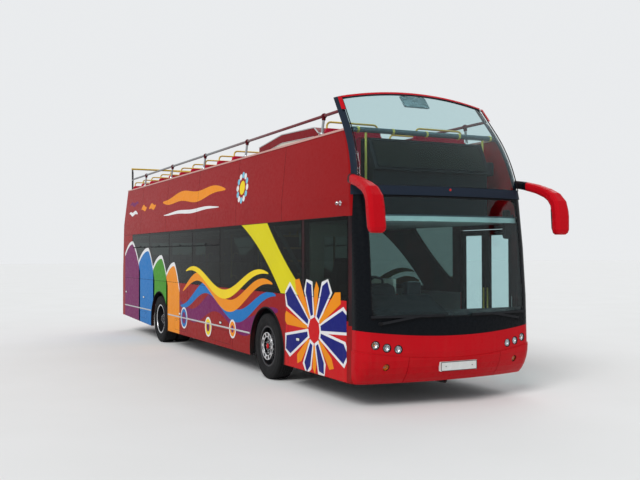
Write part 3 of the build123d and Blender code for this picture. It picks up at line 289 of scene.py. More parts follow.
# Colours
red = linear(143, 5, 10)
bright_red = linear(186, 14, 26)
yellow = linear(214, 202, 8)
black_tone = linear(14, 17, 21)
frame_tone = linear(34, 42, 54)
cream = linear(212, 210, 196)

# Where the wall's colours change: the driver's corner, the arches, behind the glass and inside
corner_depth = 0.09
corner_drop = 0.3
arch_edge = 0.004
band_margin = 0.01
paint_depth = 0.006
lining_depth = 0.056


def wall_pattern(finish):
    """Red outside, black in the arches, behind the glass and at the driver's corner, pale lining inside."""
    across = finish.math("ABSOLUTE", finish.axis("Y"))
    height = finish.axis("Z")
    along = finish.axis("X")
    dark = finish.math("GREATER_THAN", along, x_screen - corner_depth)
    dark = finish.both(dark, finish.between(height, waist - corner_drop, band_bottom))
    pillar = finish.math("LESS_THAN", finish.axis("Y"), 0.0)
    pillar = finish.both(pillar, finish.between(along, *stair_pillar))
    pillar = finish.both(pillar, finish.between(height, waist, deck_line))
    dark = finish.either(dark, pillar)
    for x_axle in (x_front_axle, x_rear_axle):
        ahead = finish.math("SUBTRACT", along, x_axle + arch_forward)
        up = finish.math("SUBTRACT", height, tyre_radius - arch_drop)
        arch = finish.math("LESS_THAN", finish.squares(ahead, up), (arch_radius + arch_edge) ** 2)
        dark = finish.either(dark, arch)
    behind_glass = finish.math("LESS_THAN", across, half_width - paint_depth)
    band = finish.between(height, waist - band_margin, deck_line + band_margin)
    dark = finish.either(dark, finish.both(behind_glass, band))
    base = finish.mix(dark, red, black_tone)
    inside = finish.math("LESS_THAN", across, half_width - lining_depth)
    inside = finish.both(inside, finish.math("SUBTRACT", 1.0, dark, clamp=True))
    return finish.mix(inside, base, linear(150, 152, 152))


def deck_pattern(finish):
    """Floor covering with pale flecks on top and a white ceiling below."""
    flecks = finish.spread(finish.cells(160.0), 0.0, 0.12, 1.0, 0.0)
    cover = finish.mix(flecks, linear(74, 78, 84), linear(150, 152, 156))
    below = finish.math("LESS_THAN", finish.axis("Z"), deck_line)
    return finish.mix(below, cover, linear(205, 206, 202))


# Where the rail's colours change: under the side rails, at the tail posts and at the cross bar
rail_low = 3.575
x_tail_posts = -5.9
cross_bar_low = 3.861


def rail_pattern(finish):
    """Grey metal tube with a painted dark red reflection on its front part, fading out towards the rear, a
    yellow cross bar and dark tail posts.
    """
    along, height = finish.axis("X"), finish.axis("Z")
    # Painted reflection: the tube is dark red in front and fades to its own grey from x 3.2 back to x 0.4
    wear_and_painted_reflection = finish.spread(along, 0.4, 3.2, 1.0, 0.0)
    base = finish.mix(wear_and_painted_reflection, linear(112, 34, 42), linear(136, 138, 140))
    post = finish.math("LESS_THAN", height, rail_low)
    base = finish.mix(post, base, linear(150, 152, 154))
    base = finish.mix(finish.math("LESS_THAN", along, x_tail_posts), base, linear(46, 44, 46))
    return finish.mix(finish.math("GREATER_THAN", height, cross_bar_low), base, linear(206, 172, 40))


# How far behind the nose the mirrors' boots end, and the radius where the rear discs' bright face ends
boot_depth = 0.24
wheel_disc_edge = 0.26


def mirror_pattern(finish):
    """Red shells on arms with a black boot where they leave the body."""
    boot = finish.math("LESS_THAN", finish.axis("X"), x_nose - boot_depth)
    return finish.mix(boot, bright_red, black_tone)


def wheel_pattern(finish):
    """Dark wheels in front, and behind them wheels with a bright disc in a dark rim."""
    ahead = finish.math("GREATER_THAN", finish.axis("X"), 0.0)
    axle = finish.spread(ahead, 0.0, 1.0, x_rear_axle, x_front_axle)
    along = finish.math("SUBTRACT", finish.axis("X"), axle)
    up = finish.math("SUBTRACT", finish.axis("Z"), tyre_radius)
    bright = finish.math("LESS_THAN", finish.squares(along, up), wheel_disc_edge**2)
    bright = finish.both(bright, finish.math("SUBTRACT", 1.0, ahead))
    return finish.mix(bright, linear(34, 34, 38), linear(178, 178, 182))


def dot_pattern(finish):
    """An unlit panel with a level grid of small lamps."""
    dots = finish.node("ShaderNodeTexVoronoi")
    finish.put(dots.inputs["Vector"], finish.stretched((0.0, 1.0, 1.0)))
    dots.inputs["Scale"].default_value = 80.0
    dots.inputs["Randomness"].default_value = 0.0
    lamp = finish.math("LESS_THAN", dots.outputs["Distance"], 0.3)
    return finish.mix(lamp, linear(14, 16, 18), linear(58, 56, 44))


finishes = {
    "body": painted("body_paint", red),
    "wall": painted("wall_paint", red, pattern=wall_pattern),
    "bumper": painted("bumper_paint", bright_red, rough=0.3, coat=0.03, film=0.08),
    "mirror": painted("mirror_shell", bright_red, rough=0.3, film=0.0, pattern=mirror_pattern),
    "hub_red": painted("hub_red", bright_red, rough=0.3, film=0.0),
    "black": painted("black_gloss", black_tone, rough=0.26, coat=0.02, film=0.05),
    "frame": painted("screen_frame_paint", frame_tone, rough=0.4, film=0.0),
    "yellow": painted("swoosh_paint", yellow, film=0.0),
    "cream": painted("cream_paint", cream, rough=0.4, film=0.0),
    "rail": painted("rail_coat", linear(222, 188, 92), rough=0.35, coat=0.2, film=0.0),
    "tube": painted("rail_paint", linear(136, 138, 140), rough=0.32, film=0.0, pattern=rail_pattern),
    "dark_red": painted("clamp_paint", linear(84, 12, 22), rough=0.35, film=0.0),
    "grey": moulded("grey_moulding", linear(128, 132, 136), rough=0.5),
    "capping": painted("capping_paint", linear(196, 150, 142), rough=0.4, coat=0.1, film=0.0),
    "seat": moulded("seat_shell", linear(178, 20, 52), rough=0.42),
    "trim": metal("bright_trim", linear(206, 206, 208), rough=0.22, metallic=0.9),
    "dark_rim": metal("dark_wheel_paint", linear(46, 46, 50), rough=0.5, metallic=0.3, rust=0.2),
    "rubber": moulded("seal_rubber", linear(20, 20, 22), rough=0.7, grain=700.0),
    "amber": moulded("amber_lens", linear(232, 128, 20), rough=0.2, grain=260.0, coat=0.5),
    "mirror_glass": metal("mirror_glass", linear(216, 222, 226), rough=0.04),
    "panel_screen": painted("unlit_panel", linear(22, 26, 30), rough=0.4, film=0.0, pattern=dot_pattern),
    "foam": moulded("rail_foam", linear(92, 98, 104), rough=0.8, grain=300.0, depth=0.001),
    "hood_red": painted("hood_red", linear(122, 14, 24), rough=0.36, film=0.0),
    "lining": painted("pale_lining", linear(186, 188, 188), rough=0.55, film=0.0),
    "floor": painted("floor_cover", linear(80, 84, 88), rough=0.7, film=0.0),
    "deck": painted("deck_cover", linear(80, 84, 88), rough=0.7, film=0.0, pattern=deck_pattern),
    "chassis": metal("chassis_coat", linear(34, 34, 36), rough=0.6, metallic=0.2, rust=0.6),
    "steel": metal("forged_steel", linear(84, 82, 80), rough=0.5, metallic=0.7, rust=0.7),
    "rim": metal("wheel_paint", linear(150, 152, 156), rough=0.42, metallic=0.5, rust=0.1,
                 pattern=wheel_pattern),
    "tyre": moulded("tyre_rubber", linear(30, 30, 31), rough=0.8, grain=500.0),
    "plastic": moulded("dark_moulding", linear(30, 31, 34), rough=0.55),
    "clear": glazed("clear_glass", linear(226, 240, 240)),
    "screen": glazed("screen_glass", linear(196, 222, 224)),
    "saloon": glazed("saloon_glass", linear(92, 108, 104), ior=1.1),
    "lens": glazed("lamp_lens", linear(240, 244, 246)),
    "red_lens": moulded("red_lens", linear(170, 14, 12), rough=0.18, grain=260.0, coat=0.6),
    "plate": moulded("blank_plate", linear(206, 208, 206), rough=0.35, grain=900.0, depth=0.0002),
    "cloth": woven("saloon_cloth", linear(52, 62, 112), linear(170, 60, 70)),
    "driver_cloth": woven("driver_cloth", linear(46, 48, 54), linear(110, 112, 120)),
}

finish_of = {
    "chassis_frame": "chassis", "engine_block": "steel", "lower_floor": "floor", "upper_deck_floor": "deck",
    "side_wall_offside": "wall", "side_wall_nearside": "wall", "swoosh_pillars": "yellow",
    "saloon_windows": "saloon", "upper_sides": "body", "parapet_capping": "capping", "front_panel": "bumper",
    "front_bumper": "bumper", "windscreen_surround": "black", "windscreen_lower": "screen",
    "windscreen_band": "frame", "windscreen_upper": "screen", "upper_screen_frame": "frame",
    "rear_wall": "body", "rear_upper_panel": "body", "engine_lid": "body", "stairs": "floor",
    "stair_hood": "cream", "deck_rails": "tube", "front_rail": "foam", "upper_seats": "seat",
    "upper_seat_rails": "rail", "lower_seats": "cloth", "saloon_poles": "rail", "driver_seat": "cloth",
    "dashboard": "plastic", "steering_wheel": "plastic", "cab_partition": "cream", "cab_door": "cream",
    "destination_display": "plastic", "front_lamps": "lens", "tail_lamps": "red_lens", "mirrors": "mirror",
    "wipers": "plastic", "number_plates": "plate", "door_leaf_rear": "black", "door_leaf_front": "black",
    "door_glass_rear": "clear", "door_glass_front": "clear", "front_axle": "steel", "knuckle_left": "steel",
    "knuckle_right": "steel", "track_rod": "chassis", "wheel_front_left": "rim", "wheel_front_right": "rim",
    "tyre_front_left": "tyre", "tyre_front_right": "tyre", "rear_axle": "steel", "wheel_rear_left": "rim",
    "wheel_rear_right": "rim", "tyre_rear_left": "tyre", "tyre_rear_right": "tyre",
}


def dress(piece, finish):
    piece.data.materials.clear()
    piece.data.materials.append(finishes[finish])


for node, finish in finish_of.items():
    dress(nodes[node], finish)


# Meshes, and the pieces made of them
def new_piece(name, mesh, finish, body="bus_body", smooth=None, plates=False):
    """A piece made of a mesh that rides on a body, smooth up to an angle; plates are cut to triangles."""
    bmesh.ops.recalc_face_normals(mesh, faces=mesh.faces)
    if plates:
        bmesh.ops.triangulate(mesh, faces=[f for f in mesh.faces if len(f.verts) > 4])
    data = bpy.data.meshes.new(name)
    mesh.normal_update()
    mesh.to_mesh(data)
    mesh.free()
    piece = bpy.data.objects.new(name, data)
    bpy.context.scene.collection.objects.link(piece)
    if smooth:
        data.shade_smooth()
        data.set_sharp_from_angle(angle=radians(smooth))
    for one in [finish] if isinstance(finish, str) else finish:
        data.materials.append(finishes[one])
    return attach(piece, body)


def add_plate(mesh, outline, place, depth, index=0, base=-0.0002):
    """A closed plate: its outline in two numbers a point, set in space by place(u, v, depth)."""
    front = [mesh.verts.new(place(u, v, depth)) for u, v in outline]
    back = [mesh.verts.new(place(u, v, base)) for u, v in outline]
    faces = [mesh.faces.new(front), mesh.faces.new(back[::-1])]
    for k in range(len(outline)):
        n = (k + 1) % len(outline)
        faces.append(mesh.faces.new((front[n], front[k], back[k], back[n])))
    for face in faces:
        face.material_index = index


def side_place(side):
    """The bus's flat side: x along it and z up, standing out from the body."""
    def place(x, z, depth):
        lean = side_lean * max(0.0, z - band_bottom)
        return Vector((x, side * (half_width - lean + depth), z))
    return place


def add_turned(mesh, profile, place, sides=24, index=0):
    """A profile of (radius, along) turned about an axis; it closes on itself if no end is at radius 0."""
    rings = []
    for radius, along in profile:
        turns = [2 * pi * k / sides for k in range(sides if radius else 1)]
        rings.append([mesh.verts.new(place(turn, radius, along)) for turn in turns])
    pairs = list(zip(rings, rings[1:]))
    if profile[0][0] and profile[-1][0]:
        pairs.append((rings[-1], rings[0]))
    for here, after in pairs:
        for k in range(sides):
            n = (k + 1) % sides
            corners = [here[j % len(here)] for j in (k, n)] + [after[j % len(after)] for j in (n, k)]
            mesh.faces.new(list(dict.fromkeys(corners))).material_index = index


def add_skin(mesh, rings, looped=False, index=0):
    """Faces between rings of points, with both ends closed unless the rings run round in a loop."""
    made = [[mesh.verts.new(point) for point in ring] for ring in rings]
    pairs = list(zip(made, made[1:]))
    if looped:
        pairs.append((made[-1], made[0]))
    faces = []
    for here, after in pairs:
        for k in range(len(here)):
            n = (k + 1) % len(here)
            faces.append(mesh.faces.new((here[k], here[n], after[n], after[k])))
    if not looped:
        faces += [mesh.faces.new(made[0][::-1]), mesh.faces.new(made[-1])]
    for face in faces:
        face.material_index = index


def add_stack(mesh, outline, steps, place, index=0):
    """A block with one outline at every step of (size, depth), set in space by place(u, v, depth)."""
    rings = [[place(size * u, size * v, depth) for u, v in outline] for size, depth in steps]
    add_skin(mesh, rings, index=index)


def add_tube(mesh, points, radius, sides=10, looped=False, index=0):
    """A round bar along a line of points."""
    points = [Vector(point) for point in points]
    last = len(points) - 1
    rings = []
    normal = None
    for k, point in enumerate(points):
        before = points[k - 1] if looped or k else point
        after = points[(k + 1) % len(points)] if looped or k < last else point
        along = (after - before).normalized()
        if normal is None:
            normal = along.orthogonal()
        normal = (normal - along * normal.dot(along)).normalized()
        across = along.cross(normal)
        turns = [2 * pi * j / sides for j in range(sides)]
        rings.append([point + radius * (cos(turn) * normal + sin(turn) * across) for turn in turns])
    add_skin(mesh, rings, looped, index)


def about(origin, axis):
    """Points about an axis that starts at a place."""
    axis = Vector(axis).normalized()
    first = axis.orthogonal().normalized()
    second = axis.cross(first)

    def place(turn, radius, along):
        return Vector(origin) + along * axis + radius * (cos(turn) * first + sin(turn) * second)
    return place


def wheel_place(x, y, side):
    """Points about a wheel's axle: along is measured outward from the bus."""
    def place(angle, radius, along):
        return Vector((x + radius * cos(angle), y + side * along, tyre_radius + radius * sin(angle)))
    return place


def from_origin(origin, across, up, out):
    """Points set by three directions: place(u, v, depth)."""
    origin, across, up, out = (Vector(given) for given in (origin, across, up, out))

    def place(u, v, depth):
        return origin + u * across + v * up + depth * out
    return place


def rounded_outline(u_low, u_high, v_low, v_high, corner, steps=5):
    """A rounded rectangle as points that run round it once."""
    middles = (
        (u_high - corner, v_high - corner, 0.0), (u_low + corner, v_high - corner, pi / 2),
        (u_low + corner, v_low + corner, pi), (u_high - corner, v_low + corner, 3 * pi / 2),
    )
    points = []
    for u, v, start in middles:
        for k in range(steps + 1):
            turn = start + pi / 2 * k / steps
            points.append((u + corner * cos(turn), v + corner * sin(turn)))
    return points


def centred(half_u, half_v, corner, steps=5):
    return rounded_outline(-half_u, half_u, -half_v, half_v, corner, steps)


def walk(outline, u_step, v_step):
    """An outline with points added along its edges, so that it can follow a curve."""
    points = []
    for (u, v), (u_next, v_next) in zip(outline, outline[1:] + outline[:1]):
        steps = max(1, int(max(abs(u_next - u) / u_step, abs(v_next - v) / v_step)))
        points += [(u + (u_next - u) * k / steps, v + (v_next - v) * k / steps) for k in range(steps)]
    return points


# The front's own surface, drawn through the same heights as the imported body
bow_radius = 4.8
crease = 0.66
tuck_radius = 0.48
screen_radius = 12.0
brow_start = 2.6
brow_radius = 1.726
brow_centre = (x_nose - 1.8612, 2.3212)
brow_angles = (0.16242, 0.67544)
slope_rate = 0.8012


def nose_heights():
    low_angle = asin((crease - skirt_bottom + 0.005) / tuck_radius)
    heights = [crease - tuck_radius * sin(low_angle * (1 - k / 5)) for k in range(5)]
    heights += [crease + (band_bottom - crease) * k / 3 for k in range(4)]
    start, end = brow_angles
    return heights + [brow_centre[1] + brow_radius * sin(start + (end - start) * k / 6) for k in range(7)]


def nose_curve(z):
    if z < crease:
        return x_nose - tuck_radius + sqrt(tuck_radius**2 - (crease - z) ** 2)
    if z <= brow_start:
        return x_nose - screen_radius + sqrt(screen_radius**2 - (z - crease) ** 2)
    return brow_centre[0] + sqrt(brow_radius**2 - (z - brow_centre[1]) ** 2)


nose_table = [(z, nose_curve(z)) for z in nose_heights()]


def nose_line(z):
    """X of the front on the centre plane at a height."""
    if z >= nose_table[-1][0]:
        return nose_table[-1][1] - (z - nose_table[-1][0]) * slope_rate
    for (z_low, x_low), (z_high, x_high) in zip(nose_table, nose_table[1:]):
        if z <= z_high:
            return x_low + (x_high - x_low) * (z - z_low) / (z_high - z_low)


def bow_fall(y):
    return bow_radius - sqrt(bow_radius**2 - y**2)


def on_nose(y, z, proud=0.0):
    return Vector((nose_line(z) - bow_fall(y) + proud, y, z))


def half_width_at(z):
    return half_width - side_lean * max(0.0, z - band_bottom)


# Tyres: radius, along and kind of each point; kinds 1 and 2 are the ribs that cuts divide into blocks
tread_blocks = 56
block_steps = (0.0, 0.1, 0.5, 0.6)
tyre_profile = (
    (0.290, -0.112, 0), (0.302, -0.122, 0), (0.330, -0.130, 0), (0.345, -0.1355, 0), (0.352, -0.1345, 0),
    (0.392, -0.1375, 0), (0.420, -0.1365, 0), (0.424, -0.1335, 0), (0.448, -0.130, 0), (0.466, -0.122, 1),
    (0.4745, -0.112, 1), (0.4765, -0.084, 1), (0.4645, -0.082, 0), (0.4645, -0.073, 0), (0.4772, -0.071, 2),
    (0.4776, -0.044, 2), (0.4655, -0.042, 0), (0.4655, -0.032, 0), (0.478, -0.030, 0), (0.478, -0.008, 0),
    (0.4655, -0.006, 0),
)


def block_cut(kind, radius, step):
    """How deep a tread cut is at a point of the section, at a step of a block."""
    if step > 1 or kind == 0:
        return 0.0
    if kind == 2:
        return 0.005
    return 0.008 if radius > 0.47 else 0.004


def add_tyre(mesh, x, y, side):
    profile = tyre_profile + tuple((r, -a, kind) for r, a, kind in reversed(tyre_profile))
    place = wheel_place(x, y, side)
    rings = []
    for k in range(tread_blocks):
        for step, share in enumerate(block_steps):
            ring = []
            for radius, along, kind in profile:
                shift = 0.5 if kind == 2 else 0.0
                turn = 2 * pi * (k + share + shift) / tread_blocks
                ring.append(place(turn, radius - block_cut(kind, radius, step), along))
            rings.append(ring)
    add_skin(mesh, rings, looped=True)


# Wheels: name, body, x of the axle, side, and how far out each of its tyres stands
wheel_table = (
    ("front_left", "front_left_wheel", x_front_axle, 1, (1.0905,)),
    ("front_right", "front_right_wheel", x_front_axle, -1, (1.0905,)),
    ("rear_left", "rear_left_wheels", x_rear_axle, 1, (1.0905, 0.7805)),
    ("rear_right", "rear_right_wheels", x_rear_axle, -1, (1.0905, 0.7805)),
)


def make_tyres():
    for name, body, x, side, places in wheel_table:
        mesh = bmesh.new()
        for y in places:
            add_tyre(mesh, x, side * y, side)
        piece = new_piece(f"tyre_tread_{name}", mesh, "tyre", body, smooth=32)
        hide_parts(f"tyre_{name}")


# Livery: plain shapes of colour on the two sides, each a thin film on the panel
film_step = 0.0005


def from_axle(x):
    return x_front_axle + x


def arch_line(x):
    """Top of a wheel arch over x, or nothing where there is no arch."""
    top = 0.0
    for x_axle in (x_front_axle, x_rear_axle):
        across = x - x_axle - arch_forward
        reach = arch_radius + 0.012
        if abs(across) < reach:
            top = max(top, tyre_radius - arch_drop + sqrt(reach**2 - across**2))
    return top


def add_band(mesh, place, x_low, x_high, lower, upper, depth, index, steps=60):
    """The area between two curves of x, kept off the wheel arches, as one or more closed plates."""
    runs, run = [], []
    for k in range(steps + 1):
        x = x_low + (x_high - x_low) * k / steps
        z_low = max(lower(x), arch_line(x))
        z_high = upper(x)
        if z_high - z_low > 0.002:
            run.append((x, z_low, z_high))
        elif run:
            runs.append(run)
            run = []
    runs.append(run)
    for run in runs:
        if len(run) > 1:
            outline = [(x, z) for x, z, _ in run] + [(x, z) for x, _, z in reversed(run)]
            add_plate(mesh, outline, place, depth, index)


def skirt_line(x):
    rise_from = x_rear_axle - 0.6
    if x >= rise_from:
        return skirt_bottom + 0.003
    return skirt_bottom + 0.003 + 0.08 * (rise_from - x) / (rise_from - x_side_end)


def disc(x, z, radius, count=40):
    turns = [2 * pi * k / count for k in range(count)]
    return [(x + radius * cos(turn), z + radius * sin(turn)) for turn in turns]


# Sails at the tail: rear end, front end, peak, height of the peak, height of the foot at the front, colour
sails = (
    (-8.66, -7.25, -7.95, 2.12, 1.50, 0),
    (-7.35, -6.05, -6.55, 1.96, 1.36, 1),
    (-6.15, -5.05, -5.50, 1.80, 1.26, 2),
    (-5.15, -4.25, -4.60, 1.66, 1.16, 3),
)
sail_edge = 0.075


def sail_top(x_low, x_high, x_peak, z_peak, z_foot, drop):
    def top(x):
        if x < x_peak:
            share = (x_peak - x) / (x_peak - x_low)
            return z_peak - (z_peak - z_foot) * 0.45 * share**2 - drop
        share = (x - x_peak) / (x_high - x_peak)
        return z_peak - (z_peak - z_foot) * share**1.5 - drop
    return top


def make_sails(side, place):
    mesh = bmesh.new()
    for x_low, x_high, x_peak, z_peak, z_foot, index in sails:
        x_low, x_high, x_peak = from_axle(x_low), from_axle(x_high), from_axle(x_peak)
        for layer, (drop, colour) in enumerate(((0.0, 4), (sail_edge, index)), 1):
            top = sail_top(x_low, x_high, x_peak, z_peak, z_foot, drop)
            add_band(mesh, place, x_low, x_high, skirt_line, top, layer * film_step, colour)
    films = ["film_purple", "film_blue", "film_green", "film_orange", "film_white"]
    new_piece(f"livery_sails_{side_names[side]}", mesh, films, plates=True)


# Waves amidships: rear end, front end, middle height, rise, length, where a wave starts, width, colour
waves = (
    (-4.35, 0.50, 0.86, 0.16, 2.6, 0.00, 0.34, 0),
    (-4.20, 0.42, 1.04, 0.20, 2.9, 0.55, 0.22, 1),
    (-4.05, 0.30, 1.20, 0.22, 3.1, 1.05, 0.20, 2),
    (-3.85, 0.15, 1.36, 0.20, 3.3, 1.45, 0.15, 3),
)


def wave_line(row, share):
    x_low, x_high, middle, rise, length, start, width, _ = row

    def line(x):
        along = (x - from_axle(x_low)) / (from_axle(x_high) - from_axle(x_low))
        taper = max(0.0, sin(pi * min(1.0, max(0.0, along)))) ** 0.6
        return middle + rise * sin(2 * pi * (x + start) / length) + share * width * taper / 2
    return line


# Discs under the waves: x, height, radius and colour; each has a white rim and a purple eye
wave_discs = ((-3.95, 0.62, 0.2, 1), (-2.55, 0.56, 0.17, 3), (-1.35, 0.62, 0.15, 2))
disc_rim = 0.03
disc_eye = 0.09


def make_waves(side, place):
    mesh = bmesh.new()
    for k, row in enumerate(waves):
        x_low, x_high = from_axle(row[0]), from_axle(row[1])
        lower, upper = wave_line(row, -1), wave_line(row, 1)
        add_band(mesh, place, x_low, x_high, lower, upper, (k + 1) * film_step, row[7], 140)
    for x, z, radius, index in wave_discs:
        for layer, (inset, colour) in enumerate(((0.0, 4), (disc_rim, index), (disc_eye, 0)), 6):
            add_plate(mesh, disc(from_axle(x), z, radius - inset), place, layer * film_step, colour)
    films = ["film_purple", "film_blue", "film_orange", "film_yellow", "film_white"]
    new_piece(f"livery_waves_{side_names[side]}", mesh, films, plates=True)


# Burst of rays ahead of the front wheel: angle, half width, reach and colour of each ray
burst_centre = (1.62, 0.84)
burst_low = 0.72
burst_high = {-1: 2.5, 1: 1.38}
burst_top = 1.52
burst_field = (0.295, 1.26)
burst_rays = (
    (12, 9, 0.92, 0), (34, 7, 0.86, 1), (57, 10, 0.71, 0), (82, 7, 0.60, 1), (107, 10, 0.62, 0),
    (131, 7, 0.82, 1), (152, 9, 0.95, 0), (173, 6, 0.92, 1), (198, 9, 0.90, 0), (222, 7, 0.66, 1),
    (247, 10, 0.56, 0), (272, 7, 0.52, 1), (296, 10, 0.56, 0), (321, 7, 0.66, 1), (345, 8, 0.90, 0),
)
ray_edge = 0.035
# Films lie this much apart, as a share of a film's step, so that no two are in one plane
ray_apart = 0.04


def clipped(outline, keep, cross):
    """The part of an outline where keep is true; cross gives the point where an edge leaves it."""
    kept = []
    for k, point in enumerate(outline):
        before = outline[k - 1]
        if keep(point) != keep(before):
            kept.append(cross(before, point))
        if keep(point):
            kept.append(point)
    return kept


def within(outline, x_low, x_high, z_low, z_high):
    """An outline cut to an upright rectangle."""
    for number, limit, sign in ((0, x_low, 1), (0, x_high, -1), (1, z_low, 1), (1, z_high, -1)):
        def keep(point):
            return sign * (point[number] - limit) > 0

        def cross(first, second):
            share = (limit - first[number]) / (second[number] - first[number])
            return tuple(a + (b - a) * share for a, b in zip(first, second))
        outline = clipped(outline, keep, cross) if outline else outline
    return outline


def ray_outline(centre, angle, half, reach, inner, grow):
    """A ray that widens outward, with a slanting end; grow widens it all round."""
    x, z = centre
    points = []
    ends = ((-half, inner), (-half, reach), (half * 0.2, reach + 0.07), (half, reach - 0.05), (half, inner))
    for turn, far in ends:
        direction = radians(angle + turn)
        points.append([x + far * cos(direction), z + far * sin(direction)])
    middle = radians(angle)
    for k, sign in ((0, -1), (1, -1), (3, 1), (4, 1)):
        points[k][0] += -sin(middle) * sign * grow
        points[k][1] += cos(middle) * sign * grow
    return [tuple(p) for p in points]


def make_burst(side, place):
    mesh = bmesh.new()
    x_low, x_high = from_axle(burst_low), from_axle(burst_high[side])
    low, high = burst_field
    field = [(x_low, low), (x_high, low), (x_high, high), (x_low + 0.03, high)]
    add_plate(mesh, field, place, film_step, 2)
    centre = (from_axle(burst_centre[0]), burst_centre[1])
    for k, (angle, half, reach, index) in enumerate(burst_rays):
        films = [(reach - ray_edge, 0.2, 0.0, 3, index)]
        if index == 0:
            films.insert(0, (reach, 0.16, ray_edge, 2, 3))
        for far, inner, grow, layer, colour in films:
            outline = ray_outline(centre, angle, half, far, inner, grow)
            outline = within(outline, x_low, x_high, skirt_bottom + 0.004, burst_top)
            if len(outline) > 2:
                add_plate(mesh, outline, place, layer * film_step + ray_apart * k * film_step, colour)
    films = ["film_navy", "film_orange", "film_red", "film_white"]
    new_piece(f"livery_burst_{side_names[side]}", mesh, films, plates=True)


# Ribbons on the upper side, with the same columns as the waves, and a flower of petals round a disc
ribbons = (
    (-5.55, -1.75, 2.90, 0.035, 1.9, 0.0, 0.20, 0),
    (-5.40, -2.00, 2.62, 0.012, 1.7, 0.3, 0.07, 1),
    (-8.35, -7.55, 2.98, 0.02, 0.5, 0.0, 0.09, 2),
    (-8.35, -7.55, 2.76, 0.02, 0.5, 0.1, 0.09, 1),
    (-7.25, -6.80, 2.84, 0.02, 0.4, 0.0, 0.12, 0),
    (-6.60, -6.05, 2.84, 0.02, 0.4, 0.1, 0.12, 0),
)
flower_place = (-1.0, 2.86)
petals = 12
petal_ring = 0.2


def make_upper_livery(side, place):
    mesh = bmesh.new()
    for row in ribbons:
        x_low, x_high = from_axle(row[0]), from_axle(row[1])
        lower, upper = wave_line(row, -1), wave_line(row, 1)
        add_band(mesh, place, x_low, x_high, lower, upper, film_step, row[7], 120)
    x, z = from_axle(flower_place[0]), flower_place[1]
    for k in range(petals):
        angle = 2 * pi * k / petals
        petal = disc(x + petal_ring * cos(angle), z + petal_ring * sin(angle), 0.05, 16)
        add_plate(mesh, petal, place, film_step, 3 if k % 2 else 1)
    add_plate(mesh, disc(x, z, 0.11), place, film_step, 4)
    films = ["film_orange", "film_white", "film_purple", "film_pale_blue", "film_yellow"]
    new_piece(f"livery_upper_{side_names[side]}", mesh, films, plates=True)


# Colours of the films, in steps of 255
film_colours = {
    "purple": (112, 10, 86), "blue": (14, 112, 182), "green": (62, 140, 20), "orange": (232, 140, 14),
    "yellow": (236, 206, 30), "white": (226, 226, 226), "navy": (16, 24, 112), "red": (196, 16, 24),
    "pale_blue": (120, 190, 214),
}
for colour, steps in film_colours.items():
    finishes["film_" + colour] = painted("film_" + colour, linear(*steps), rough=0.36)


# Wheels: trim rings that are dark in front and bright behind, nuts, hub ends, valves and guard rings
nut_circle = 0.122
disc_slope = 0.265
trim_profile = ((0.2715, 0.112), (0.274, 0.1165), (0.286, 0.1195), (0.296, 0.1175), (0.2995, 0.112))
nut_profile = ((0.0, -0.004), (0.0165, -0.004), (0.0165, 0.017), (0.0125, 0.0205), (0.007, 0.0205),
               (0.007, 0.026), (0, 0.027))
front_button = ((0, 0.117), (0.038, 0.117), (0.037, 0.124), (0.024, 0.1285), (0, 0.13))
# Ends of the wheels: how deep the disc lies, how far the hub reaches, where its bolts stand, and its cap
wheel_ends = {
    "front": (0.07, 0.095, 0.107, (
        (0, 0.094), (0.088, 0.094), (0.088, 0.102), (0.078, 0.109), (0.046, 0.113), (0.043, 0.117),
        (0, 0.118))),
    "rear": (-0.06, 0.06, 0.073, (
        (0, 0.059), (0.088, 0.059), (0.088, 0.069), (0.082, 0.072), (0.052, 0.074), (0.046, 0.09),
        (0.032, 0.097), (0, 0.098))),
}
hub_bolts = 8
hub_bolt_circle = 0.066
bolt_size = 0.45
valve_turn = 0.31
# The guard ring over the front wheels' nuts: its two rims, the bridges between them and its legs
guard_outer = ((0.187, 0.122), (0.187, 0.130), (0.191, 0.1335), (0.199, 0.1335), (0.203, 0.129),
               (0.203, 0.122))
guard_inner = ((0.131, 0.118), (0.131, 0.126), (0.134, 0.1295), (0.144, 0.1315), (0.147, 0.129),
               (0.147, 0.118))
guard_bridges = 10
guard_legs = 5
bridge_half = 0.1
bridge_low, bridge_high = 0.145, 0.189
leg_circle = 0.139


def disc_face(dish, radius):
    """How far out the wheel's disc stands at a radius."""
    return dish - disc_slope * (radius - 0.09)


def add_guard(mesh, place, dish):
    add_turned(mesh, guard_outer, place, 64)
    add_turned(mesh, guard_inner, place, 64)

    def bridge_place(turn, radius, along):
        return place(turn, radius, along + 0.1 * (radius - bridge_low))

    for k in range(guard_bridges):
        middle = 2 * pi * k / guard_bridges
        outline = [(middle + share * bridge_half, bridge_low) for share in (-1.3, -0.6, 0, 0.6, 1.3)]
        outline += [(middle + share * bridge_half, bridge_high) for share in (1.1, 0.55, 0, -0.55, -1.1)]
        add_plate(mesh, outline, bridge_place, 0.1285, base=0.1235)
    for k in range(guard_legs):
        turn = 2 * pi * (k + 0.25) / guard_legs
        ends = (disc_face(dish, leg_circle) - 0.003, 0.122)
        add_tube(mesh, [place(turn, leg_circle, along) for along in ends], 0.006, 10)


# A valve's line: radius, the radius of the disc below it, and how far it stands off
valve_stem = ((0.258, 0.258, -0.004), (0.256, 0.256, 0.02), (0.248, 0.25, 0.04), (0.248, 0.25, 0.065))
wheel_nuts = 10


